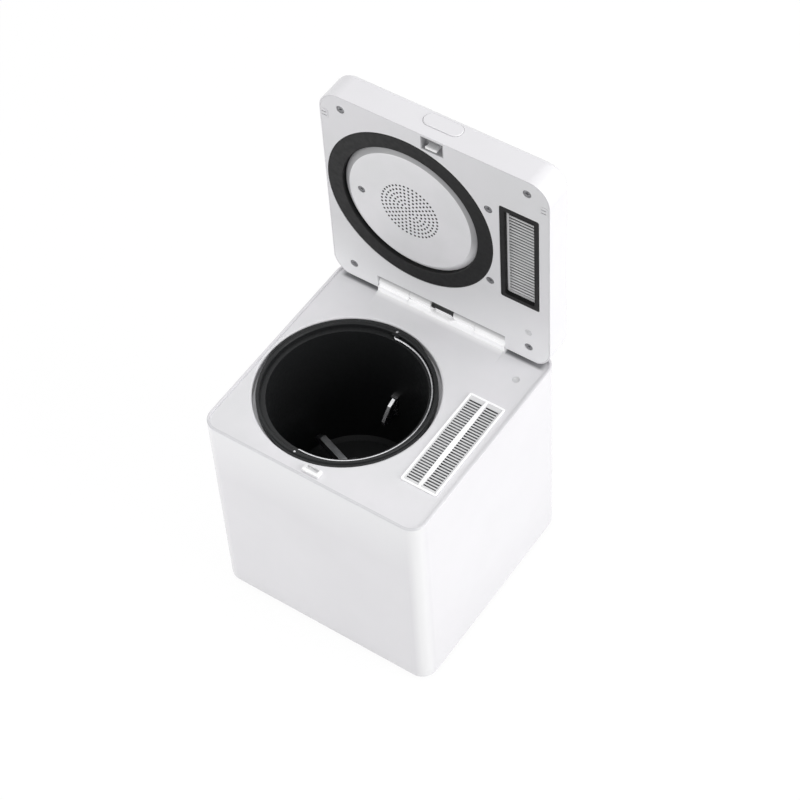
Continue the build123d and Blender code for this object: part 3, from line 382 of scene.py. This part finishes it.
def shade_hinge(bright):
    """Painted shade on the top of the hinge block under the lid and in the seams beside its middle
    knuckles, and a painted glow on the whole finish.
    """
    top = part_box("hinge_block")[1].z
    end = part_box("lid_knuckles")[1].x
    seams = [("X", end + 0.15 * MM, end + 0.35 * MM), ("X", end + 0.95 * MM, end + 0.75 * MM)]
    # Painted shadow where the lid overhangs the top of the block.
    bright.along((100, 100, 102), "Z", top - 8.0 * MM, top - 3.0 * MM, 0.92)
    # Painted shade in the seams.
    bright.zone((130, 130, 132), seams, 0.6)
    # Painted light: the finish glows though it is no lamp.
    bright.glow(0.17)


def shade_strike(strike):
    """Painted light on the front and the right lips of the latch strike, and a faint painted glow.
    """
    low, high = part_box("latch_strike")
    start, end = 4.2 * MM, 3.0 * MM
    # Painted light on the front lip.
    strike.along((255, 255, 255), "Y", low.y + start, low.y + end)
    # Painted light on the right lip.
    strike.along((255, 255, 255), "X", high.x - start, high.x - end)
    # Painted light: a faint glow of its own.
    strike.glow(0.02)


def shade_panel(panel):
    """Painted light towards the foot of the lid's inner panel, standing in for light thrown up
    from the deck, and painted shade in crevices.
    """
    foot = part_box("lid_inner_panel")[0].z
    # Painted light, stronger towards the foot.
    panel.along((246, 246, 248), "Z", foot + 88.9 * MM, foot + 8.9 * MM)
    # Painted shade where surfaces meet.
    panel.painted_crevice_shade((140, 140, 142), CREVICE_REACH, 0.7)


def shade_plate(plate):
    """Painted shade on the upper half of the vent plate's bevelled edge, and painted shade in its
    crevices.
    """
    low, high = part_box("vent_plate")
    centre = Vector(((low.x + high.x) / 2, low.y, (low.z + high.z) / 2))
    plate_r = (high.x - low.x) / 2
    bevel = (plate_r - 8.1 * MM, plate_r - 7.6 * MM)
    upper_half = (centre.z - 37.8 * MM, centre.z - 2.8 * MM)
    # Painted shade on the upper bevel.
    plate.ring((168, 168, 170), centre, *bevel, *upper_half)
    # Painted shade where surfaces meet.
    plate.painted_crevice_shade((90, 90, 92), 2.0 * MM)


def shade_slats(slats):
    """Painted shade, darker between the slats than on their front edges."""
    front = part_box("filter_port")[0].y
    # Painted shade, deeper between the slats.
    slats.along((185, 185, 186), "Y", front + 0.5 * MM, front + 1.4 * MM, 0.9)


def shade_gasket(gasket):
    """Painted shade, darker on the sides of the gaskets than on their faces, which look along -Y.
    """
    # Painted shade on the gaskets' sides.
    gasket.along((9, 9, 9), "Y", -0.9, -0.4, turned=True)


FINISH = {name: textured(name) for name in TEXTURES}
shade_casing(FINISH["casing"])
shade_cover(FINISH["cover"])
shade_deck(FINISH["deck"])
shade_hinge(FINISH["bright"])
shade_strike(FINISH["strike"])
shade_panel(FINISH["panel"])
shade_plate(FINISH["plate"])
shade_slats(FINISH["slats"])
shade_gasket(FINISH["gasket"])

NODE_FINISH = {
    "casing": ["body_shell"],
    "cover": ["lid_cover", "open_button"],
    "deck": ["deck_panel"],
    "panel": ["lid_inner_panel", "lid_bumpers"],
    "recess": ["latch_housing"],
    "tongue": ["latch_catch"],
    "strike": ["latch_strike"],
    "sensor": ["lid_sensor"],
    "magnet": ["sensor_magnet"],
    "plate": ["vent_plate"],
    "bright": ["hinge_block", "lid_knuckles"],
    "grille": ["filter_grille"],
    "slats": ["filter_port"],
    "gasket": ["lid_gasket", "port_gasket"],
    "rubber": ["feet", "shaft_seal"],
    "dark": ["harness_tube", "filter_cartridge", "filter_well", "fan_housing", "exhaust_duct",
             "power_inlet", "spring_seat", "fan_impeller"],
    "coat": ["bucket", "handle_lugs"],
    "wire": ["bucket_handle", "lug_rivets"],
    "steel": ["fixed_cutters", "hinge_pins", "button_spring", "drive_shaft", "motor_shaft",
              "idler_pin", "drive_gear", "motor_pinion", "drive_motor", "fan_motor",
              "drive_frame"],
    "screw": ["lid_screws", "vent_plate_screw", "base_screws"],
    "alloy": ["agitator", "heated_chamber", "heater_plate"],
    "grey": ["air_channel", "base_plate", "gearbox_case", "gearbox_cover", "idler_gear"],
    "brass": ["bucket_bush", "drive_bearings"],
    "board": ["control_board", "touch_board"],
    "carbon": ["carbon_pack"],
    "ceramic": ["heating_element"],
}


def paint(piece, finish):
    """One finish on all of a piece."""
    piece.data.materials.clear()
    piece.data.materials.append(FINISH[finish].material)


for finish, names in NODE_FINISH.items():
    for name in names:
        paint(NODES[name], finish)


# ---------------------------------------------------------------- mesh helpers
def as_object(made, name):
    """A bmesh as a new object in the scene."""
    data = bpy.data.meshes.new(name)
    made.to_mesh(data)
    made.free()
    piece = bpy.data.objects.new(name, data)
    bpy.context.scene.collection.objects.link(piece)
    return piece


def joined(pieces, name, finish, body):
    """One object out of several bmeshes, painted and riding on a body."""
    whole = bmesh.new()
    for one in pieces:
        part = bpy.data.meshes.new("part")
        one.to_mesh(part)
        one.free()
        whole.from_mesh(part)
        bpy.data.meshes.remove(part)
    piece = as_object(whole, name)
    paint(piece, finish)
    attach(piece, body)
    return piece


def islands(node):
    """The lowest and highest corner of each separate solid in a node, in the mesh's order."""
    mesh = bmesh.new()
    mesh.from_mesh(NODES[node].data)
    bmesh.ops.remove_doubles(mesh, verts=mesh.verts, dist=NODE_WELD)
    seen = set()
    found = []
    for first in mesh.verts:
        if first in seen:
            continue
        seen.add(first)
        stack = [first]
        members = []
        while stack:
            vert = stack.pop()
            members.append(vert.co.copy())
            for edge in vert.link_edges:
                other = edge.other_vert(vert)
                if other not in seen:
                    seen.add(other)
                    stack.append(other)
        low = Vector([min(p[i] for p in members) for i in range(3)])
        high = Vector([max(p[i] for p in members) for i in range(3)])
        found.append((low, high))
    mesh.free()
    return found


def lathe(points, sides):
    """A bmesh turned about Z from (radius, height) points, closed where the radius is 0."""
    made = bmesh.new()
    turns = [2 * math.pi * k / sides for k in range(sides)]
    rows = []
    for r, z in points:
        if r == 0.0:
            rows.append([made.verts.new((0.0, 0.0, z))])
        else:
            rows.append([made.verts.new((r * math.cos(a), r * math.sin(a), z)) for a in turns])
    for upper, lower in zip(rows, rows[1:]):
        for k in range(sides):
            ring = [upper[k % len(upper)], lower[k % len(lower)],
                    lower[(k + 1) % len(lower)], upper[(k + 1) % len(upper)]]
            corners = list(dict.fromkeys(ring))
            if len(corners) > 2:
                made.faces.new(corners)
    bmesh.ops.recalc_face_normals(made, faces=made.faces)
    return made


def stacked(loops, capped=True):
    """A bmesh skinned over closed loops of points that all have the same count."""
    made = bmesh.new()
    rows = [[made.verts.new(p) for p in loop] for loop in loops]
    count = len(rows[0])
    for lower, upper in zip(rows, rows[1:]):
        for k in range(count):
            after = (k + 1) % count
            made.faces.new((lower[k], lower[after], upper[after], upper[k]))
    if capped:
        made.faces.new(list(reversed(rows[0])))
        made.faces.new(rows[-1])
    bmesh.ops.recalc_face_normals(made, faces=made.faces)
    return made


def rounded_loop(centre, width, length, radius, z):
    """A rectangle with rounded corners at height z."""
    steps = 5
    points = []
    for corner, (sx, sy) in enumerate(((1, 1), (-1, 1), (-1, -1), (1, -1))):
        for k in range(steps + 1):
            a = math.radians(90 * corner + 90 * k / steps)
            points.append((centre.x + sx * (width / 2 - radius) + radius * math.cos(a),
                           centre.y + sy * (length / 2 - radius) + radius * math.sin(a), z))
    return points


def slab(x0, x1, y0, y1, low, high):
    """A plain block between two corners."""
    corners = [(x0, y0), (x1, y0), (x1, y1), (x0, y1)]
    return stacked([[(x, y, z) for x, y in corners] for z in (low, high)])


# ---------------------------------------------------------------- screws with cross recesses
SCREW_SIDES = 40
THREAD_R = 1.45 * MM
ROOT_R = 1.15 * MM
TIP_R = 0.9 * MM
TIP = 1.5 * MM
THREAD_PITCH = 1.2 * MM
RECESS_ARM = 0.62
RECESS_HALF = 0.13
RECESS_DEPTH = 1.6 * MM
RECESS_PROUD = 0.2 * MM
RECESS_TAPER = 0.55
FIRST_SPIN = 23.0
NEXT_SPIN = 37.0


def cross_cutter(arm, half_width):
    """A tapered cross that cuts a driver recess into a screw's head."""
    made = bmesh.new()
    outline = []
    for k in range(4):
        turn = Matrix.Rotation(math.radians(90 * k), 3, "Z")
        for x, y in ((arm, -half_width), (arm, half_width), (half_width, half_width)):
            outline.append(turn @ Vector((x, y, 0.0)))
    top = [made.verts.new((p.x, p.y, RECESS_PROUD)) for p in outline]
    foot = [made.verts.new((RECESS_TAPER * p.x, RECESS_TAPER * p.y, -RECESS_DEPTH))
            for p in outline]
    made.faces.new(top)
    made.faces.new(list(reversed(foot)))
    for k in range(len(outline)):
        after = (k + 1) % len(outline)
        made.faces.new([top[k], foot[k], foot[after], top[after]])
    bmesh.ops.recalc_face_normals(made, faces=made.faces)
    return made


def one_screw(head_r, head_h, length):
    """A flat head with a bevelled rim and a cross recess, on a threaded shank along -Z."""
    profile = [(0.0, 0.0), (head_r - 0.7 * MM, 0.0), (head_r - 0.25 * MM, -0.15 * MM),
               (head_r, -0.6 * MM), (head_r, -head_h), (THREAD_R, -head_h)]
    for k in range(int((length - head_h - TIP) / THREAD_PITCH)):
        z = -head_h - 0.6 * MM - k * THREAD_PITCH
        profile += [(ROOT_R, z), (THREAD_R, z - 0.5 * THREAD_PITCH)]
    profile += [(TIP_R, -length + 0.6 * MM), (0.0, -length)]
    body = as_object(lathe(profile, SCREW_SIDES), "screw_blank")
    cross = cross_cutter(RECESS_ARM * head_r, RECESS_HALF * head_r)
    cutter = as_object(cross, "screw_cutter")
    cut = body.modifiers.new("recess", "BOOLEAN")
    cut.operation = "DIFFERENCE"
    cut.object = cutter
    cut.solver = "EXACT"
    graph = bpy.context.evaluated_depsgraph_get()
    result = bmesh.new()
    result.from_mesh(bpy.data.meshes.new_from_object(body.evaluated_get(graph)))
    bpy.data.objects.remove(body)
    bpy.data.objects.remove(cutter)
    return result


def dress_screws(node, body, outward, head_r, head_h, raised=0.0):
    """Screws with real recesses, one in the place of each plain screw of a node."""
    facing = Vector(outward)
    turn = Vector((0.0, 0.0, 1.0)).rotation_difference(facing).to_matrix().to_4x4()
    axis = max(range(3), key=lambda i: abs(facing[i]))
    screws = []
    for count, (low, high) in enumerate(islands(node)):
        place = (low + high) / 2
        place[axis] = low[axis] - raised if facing[axis] < 0 else high[axis] + raised
        screw = one_screw(head_r, head_h, high[axis] - low[axis])
        spin = Matrix.Rotation(math.radians(FIRST_SPIN + NEXT_SPIN * count), 4, "Z")
        screw.transform(Matrix.Translation(place) @ turn @ spin)
        screws.append(screw)
    piece = joined(screws, node + "_detailed", "screw", body)
    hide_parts(node)


dress_screws("lid_screws", "lid", (0, -1, 0), 4.8 * MM, 3.7 * MM, 1.2 * MM)
dress_screws("vent_plate_screw", "lid", (0, -1, 0), 4.4 * MM, 2.6 * MM)
dress_screws("base_screws", "base", (0, 0, -1), 3.2 * MM, 2.6 * MM)


# ---------------------------------------------------------------- deck grille
SHOULDER = 0.4 * MM


def frame_ring(centre, width, length, band, low, high):
    """A raised rectangular frame with softened upper edges."""
    soft = 0.35 * MM
    outer_r = 2.0 * MM
    inner_r = 0.8 * MM
    wide, long = width - 2 * band, length - 2 * band
    return stacked([
        rounded_loop(centre, wide, long, inner_r, low),
        rounded_loop(centre, width, length, outer_r, low),
        rounded_loop(centre, width, length, outer_r, high - soft),
        rounded_loop(centre, width - 2 * soft, length - 2 * soft, outer_r - soft, high),
        rounded_loop(centre, wide + 2 * soft, long + 2 * soft, inner_r + soft, high),
        rounded_loop(centre, wide, long, inner_r, high - soft),
        rounded_loop(centre, wide, long, inner_r, low)], capped=False)


def long_bar(x0, x1, y, half, low, high):
    """A bar along X with rounded shoulders, for the ribs between two slots."""
    section = [(-half, low), (-half, high - SHOULDER), (-0.5 * half, high),
               (0.5 * half, high), (half, high - SHOULDER), (half, low)]
    return stacked([[(x, y + dy, z) for dy, z in section] for x in (x0, x1)])


def spindle(centre, length, thin, thick, low, high):
    """The rib between the two columns, a little wider in the middle than at its ends."""
    half_steps = 12

    def outline(inset, z):
        right = []
        for k in range(2 * half_steps + 1):
            t = -1.0 + k / half_steps
            half = thin + (thick - thin) * (1.0 - t * t) - inset
            right.append((centre.x + half, centre.y + t * length / 2, z))
        return right + [(2 * centre.x - x, y, z) for x, y, z in reversed(right)]

    return stacked([outline(0.0, low), outline(0.0, high - SHOULDER), outline(SHOULDER, high)])


def sloped(x_high, x_low, y0, y1, z_high, z_low):
    """A guide plate under one column, that falls from x_high to x_low."""
    thick = 0.8 * MM
    section = [(x_high, z_high), (x_low, z_low), (x_low, z_low - thick), (x_high, z_high - thick)]
    return stacked([[(x, y, z) for x, z in section] for y in (y0, y1)])


def add_grille():
    """The grille with its rim, two columns of slots and the guides that show through them."""
    low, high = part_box("filter_grille")
    centre = (low + high) / 2
    width = high.x - low.x
    length = high.y - low.y
    field = high.z - 1.1 * MM
    under = low.z + 0.1 * MM
    band = 2.0 * MM
    overlap = 0.3 * MM
    slots = 34
    pitch = 3.76 * MM
    half_slot = 0.95 * MM
    toward_front = 1.1 * MM
    first = centre.y - pitch * (slots - 1) / 2 - toward_front
    last = first + pitch * (slots - 1)
    middle = 2.9 * MM
    margin = 4.1 * MM
    rim = [frame_ring(centre, width, length, band, low.z, high.z),
           spindle(centre, length - 2 * band + 0.4 * MM, 1.2 * MM, 3.0 * MM,
                   under, high.z - 0.1 * MM)]
    # The rim takes the bright finish, with its painted glow.
    bright = joined(rim, "grille_rim", "bright", "filter")
    y0, y1 = low.y + band - overlap, high.y - band + overlap
    floor = []
    guides = []
    for side in (-1, 1):
        inner = centre.x + side * middle
        outer = centre.x + side * (width / 2 - margin)
        edge = centre.x + side * (width / 2 - band + overlap)
        x0, x1 = sorted((inner, outer))
        floor.append(slab(*sorted((outer, edge)), y0, y1, under, field))
        floor.append(slab(*sorted((centre.x, inner)), y0, y1, under, field))
        floor.append(slab(x0, x1, y0, first - half_slot, under, field))
        floor.append(slab(x0, x1, last + half_slot, y1, under, field))
        for k in range(slots - 1):
            y = first + pitch * (k + 0.5)
            floor.append(long_bar(x0, x1, y, pitch / 2 - half_slot, under, field))
        guides.append(sloped(outer, inner, y0 + 3 * MM, y1 - 3 * MM,
                             under - 0.9 * MM, under - 7.0 * MM))
    field_piece = joined(floor, "grille_field", "grille", "filter")
    guide_piece = joined(guides, "grille_guides", "grey", "filter")
    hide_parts("filter_grille")


add_grille()


# ---------------------------------------------------------------- vent holes and button spring
def add_hole_shade_linings():
    """Painted shade: a dark lining in each hole of the vent plate, with a narrow lip on its face,
    so that the holes look darker and wider.
    """
    low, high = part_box("vent_plate")
    centre = (low + high) / 2
    rings = 7
    pitch = 5.2 * MM
    lip = 1.5 * MM
    outer = 1.27 * MM
    inner = 1.12 * MM
    proud = 0.05 * MM
    under_lip = -0.02 * MM
    depth = 2.1 * MM
    section = [(inner, proud), (lip, proud), (lip, under_lip), (outer, under_lip),
               (outer, -depth), (inner, -depth), (inner, proud)]
    outward = Matrix.Rotation(math.radians(90), 4, "X")
    places = [(0.0, 0.0)] + [(row * pitch, math.radians(30 + 60 * k / row))
                             for row in range(1, rings + 1) for k in range(6 * row)]
    linings = []
    for far, a in places:
        one = lathe(section, 6)
        bmesh.ops.remove_doubles(one, verts=one.verts, dist=WELD)
        place = (centre.x + far * math.cos(a), low.y, centre.z - far * math.sin(a))
        one.transform(Matrix.Translation(place) @ outward @ Matrix.Rotation(-a, 4, "Z"))
        linings.append(one)
    # Dark linings that stand in for the shade in the holes.
    piece = joined(linings, "vent_hole_painted_shade", "dark", "lid")


def add_spring():
    """A coil behind the open button."""
    low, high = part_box("button_spring")
    centre = (low + high) / 2
    wire = 0.5 * MM
    coil_r = (high.x - low.x) / 2 - wire
    start = low.z + wire + 0.05 * MM
    rise = high.z - low.z - 2 * wire - 0.3 * MM
    coils = 7
    steps = 24 * coils
    sides = [2 * math.pi * k / 8 for k in range(8)]
    upward = Vector((0.0, 0.0, 1.0))
    loops = []
    for k in range(steps + 1):
        a = 2 * math.pi * coils * k / steps
        out = Vector((math.cos(a), math.sin(a), 0.0))
        middle = Vector((centre.x, centre.y, start + rise * k / steps)) + coil_r * out
        loops.append([middle + wire * (math.cos(b) * out + math.sin(b) * upward) for b in sides])
    piece = joined([stacked(loops)], "spring_coil", "steel", "lid")
    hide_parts("button_spring")
    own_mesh(piece)


add_hole_shade_linings()
add_spring()


# ---------------------------------------------------------------- bead round the deck
def add_deck_bead():
    """A soft bead that fills the gap between the deck and the casing's wall."""
    low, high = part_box("body_shell")
    centre = (low + high) / 2
    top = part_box("latch_strike")[1].z - 4.0 * MM
    foot = top - 1.0 * MM
    wall = 3.0 * MM
    into_wall = 0.2 * MM
    narrower = 1.0 * MM
    outer_w = high.x - low.x - 2 * wall + into_wall
    outer_l = high.y - low.y - 2 * wall + into_wall
    inner_w, inner_l = outer_w - narrower, outer_l - narrower
    outer_r = 17.1 * MM
    inner_r = 16.6 * MM
    bead = stacked([
        rounded_loop(centre, inner_w, inner_l, inner_r, foot),
        rounded_loop(centre, outer_w, outer_l, outer_r, foot),
        rounded_loop(centre, outer_w, outer_l, outer_r, top + 0.15 * MM),
        rounded_loop(centre, inner_w, inner_l, inner_r, top + 0.05 * MM),
        rounded_loop(centre, inner_w, inner_l, inner_r, foot)], capped=False)
    piece = joined([bead], "deck_bead", "bead", "base")


add_deck_bead()


# ---------------------------------------------------------------- bucket rim and bail
POT_LOW, POT_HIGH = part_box("bucket")
POT = (POT_LOW + POT_HIGH) / 2
FLANGE_REACH = 3.7 * MM
SCALLOPS = (36.0, 217.0)
SCALLOP_HALF = 26.0
SCALLOP_FADE = 16.0


def flange_width(degrees):
    """Full reach at the front and the back, nothing at the two finger scallops."""
    apart = min(abs((degrees - a + 180.0) % 360.0 - 180.0) for a in SCALLOPS)
    t = min(max((apart - SCALLOP_HALF) / SCALLOP_FADE, 0.0), 1.0)
    return FLANGE_REACH * t * t * (3.0 - 2.0 * t)


def add_rim_flange():
    """A thin lip round the bucket's rim, scalloped at two places for the fingers."""
    rim_r = (POT_HIGH.x - POT_LOW.x) / 2
    top = POT_HIGH.z - 0.9 * MM
    foot = top - 1.6 * MM
    rows = []
    for degrees in range(0, 360, 3):
        a = math.radians(degrees)
        r0 = rim_r - 0.4 * MM
        r1 = rim_r + flange_width(degrees)
        section = [(r0, foot), (r1 - 0.2 * MM, foot), (r1, top - 1.1 * MM),
                   (r1 - 0.1 * MM, top - 0.5 * MM), (r1 - 0.6 * MM, top - 0.3 * MM), (r0, top)]
        rows.append([(POT.x + r * math.cos(a), POT.y + r * math.sin(a), z) for r, z in section])
    rows.append(rows[0])
    made = stacked(rows, capped=False)
    bmesh.ops.remove_doubles(made, verts=made.verts, dist=WELD)
    bmesh.ops.recalc_face_normals(made, faces=made.faces)
    for face in made.faces:
        face.smooth = True
    piece = joined([made], "rim_lip", "coat", "bucket")


def bail_points():
    """The middle line of the bail, from one lug round the rim's step to the other."""
    low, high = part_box("bucket_handle")
    z = (low.z + high.z) / 2
    reach = 3.9 * MM
    bend = 2.6 * MM
    r0 = (high.y - low.y) / 2 - reach
    ends = []
    for side in (-1, 1):
        turn = [Vector((POT.x, POT.y + side * (r0 + out), z)) for out in (reach, 3.2 * MM)]
        for k in range(1, 7):
            a = math.radians(15 * k)
            y = r0 + bend * (1 - math.sin(a)) - 0.1 * MM
            turn.append(Vector((POT.x + bend * (1 - math.cos(a)), POT.y + side * y, z)))
        ends.append(turn)
    arc = []
    for degrees in range(-86, 87, 2):
        a = math.radians(degrees)
        bulge = math.cos(a)
        r = r0 + 1.6 * MM * min(1.0, 2.5 * bulge)
        arc.append(Vector((POT.x + r * math.cos(a), POT.y + r * math.sin(a),
                           z - 0.6 * MM * bulge)))
    return ends[0] + arc + list(reversed(ends[1]))


def add_bail():
    """The wire bail on the rim's step, with its ends turned out through the lugs."""
    points = bail_points()
    curve = bpy.data.curves.new("bail_wire", "CURVE")
    curve.dimensions = "3D"
    curve.bevel_depth = 1.35 * MM
    curve.bevel_resolution = 6
    curve.use_fill_caps = True
    line = curve.splines.new("POLY")
    line.points.add(len(points) - 1)
    for made, p in zip(line.points, points):
        made.co = (p.x, p.y, p.z, 1.0)
    line.use_smooth = True
    piece = bpy.data.objects.new("bail_wire", curve)
    bpy.context.scene.collection.objects.link(piece)
    paint(piece, "wire")
    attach(piece, "handle")
    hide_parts("bucket_handle")


add_rim_flange()
add_bail()

# ---------------------------------------------------------------- floor, world and lights
FLOOR_SIZE = 14.0
FLOOR_COLOUR = (0.9, 0.9, 0.9, 1.0)
FLOOR_GLOW = 1.02
FLOOR_SHOW = 0.93
SKY_SEEN = 1.0
SKY_FILL = 0.62


def ray_mix(tree, for_camera, for_light):
    """The first shader for camera, glossy and transmission rays, the second for all others."""
    path = tree.nodes.new("ShaderNodeLightPath").outputs
    direct = maths(tree, "MAXIMUM", path["Is Camera Ray"], path["Is Glossy Ray"])
    mix = tree.nodes.new("ShaderNodeMixShader")
    tree.links.new(maths(tree, "MAXIMUM", direct, path["Is Transmission Ray"]), mix.inputs["Fac"])
    tree.links.new(for_light, mix.inputs[1])
    tree.links.new(for_camera, mix.inputs[2])
    return mix.outputs[0]


def add_floor():
    """A pale floor that the camera sees as nearly white, with the contact shadow left on it."""
    bpy.ops.mesh.primitive_plane_add(size=FLOOR_SIZE, location=(0.0, 0.0, 0.0))
    floor = bpy.context.object
    floor.name = "studio_floor"
    material = bpy.data.materials.new("studio_floor")
    material.use_nodes = True
    tree = material.node_tree
    tree.nodes.clear()
    out = tree.nodes.new("ShaderNodeOutputMaterial")
    card = tree.nodes.new("ShaderNodeBsdfDiffuse")
    card.inputs["Color"].default_value = FLOOR_COLOUR
    glow = tree.nodes.new("ShaderNodeEmission")
    glow.inputs["Color"].default_value = WHITE
    glow.inputs["Strength"].default_value = FLOOR_GLOW
    shown = tree.nodes.new("ShaderNodeMixShader")
    shown.inputs["Fac"].default_value = FLOOR_SHOW
    tree.links.new(card.outputs[0], shown.inputs[1])
    tree.links.new(glow.outputs[0], shown.inputs[2])
    tree.links.new(ray_mix(tree, shown.outputs[0], card.outputs[0]), out.inputs["Surface"])
    floor.data.materials.append(material)


def add_world():
    """A sky that is seen as white and fills the shade with a softer light."""
    world = bpy.data.worlds.new("studio")
    world.use_nodes = True
    tree = world.node_tree
    tree.nodes.clear()
    out = tree.nodes.new("ShaderNodeOutputWorld")
    seen = tree.nodes.new("ShaderNodeBackground")
    seen.inputs["Color"].default_value = WHITE
    seen.inputs["Strength"].default_value = SKY_SEEN
    fill = tree.nodes.new("ShaderNodeBackground")
    fill.inputs["Strength"].default_value = SKY_FILL
    tree.links.new(ray_mix(tree, seen.outputs[0], fill.outputs[0]), out.inputs["Surface"])
    bpy.context.scene.world = world


def add_softbox(name, place, aim, width, height, power):
    """A rectangular lamp that faces a point."""
    data = bpy.data.lights.new(name, "AREA")
    data.shape = "RECTANGLE"
    data.size = width
    data.size_y = height
    data.energy = power
    lamp = bpy.data.objects.new(name, data)
    bpy.context.scene.collection.objects.link(lamp)
    lamp.location = place
    lamp.rotation_euler = (Vector(aim) - Vector(place)).to_track_quat("-Z", "Y").to_euler()


add_floor()
add_world()
add_softbox("key_right", (2.4, 0.3, 1.2), (0.0, 0.0, 0.25), 1.8, 1.8, 36.0)
add_softbox("top", (-0.2, 0.3, 2.6), (0.0, 0.0, 0.3), 2.0, 2.0, 19.0)
add_softbox("front_fill", (-1.0, -2.6, 0.9), (0.0, 0.0, 0.3), 2.0, 1.6, 7.0)
add_softbox("low_left_fill", (-0.9, -1.3, 0.35), (-0.1, 0.1, 0.32), 0.8, 0.5, 4.2)
bpy.context.scene.view_settings.view_transform = "Standard"
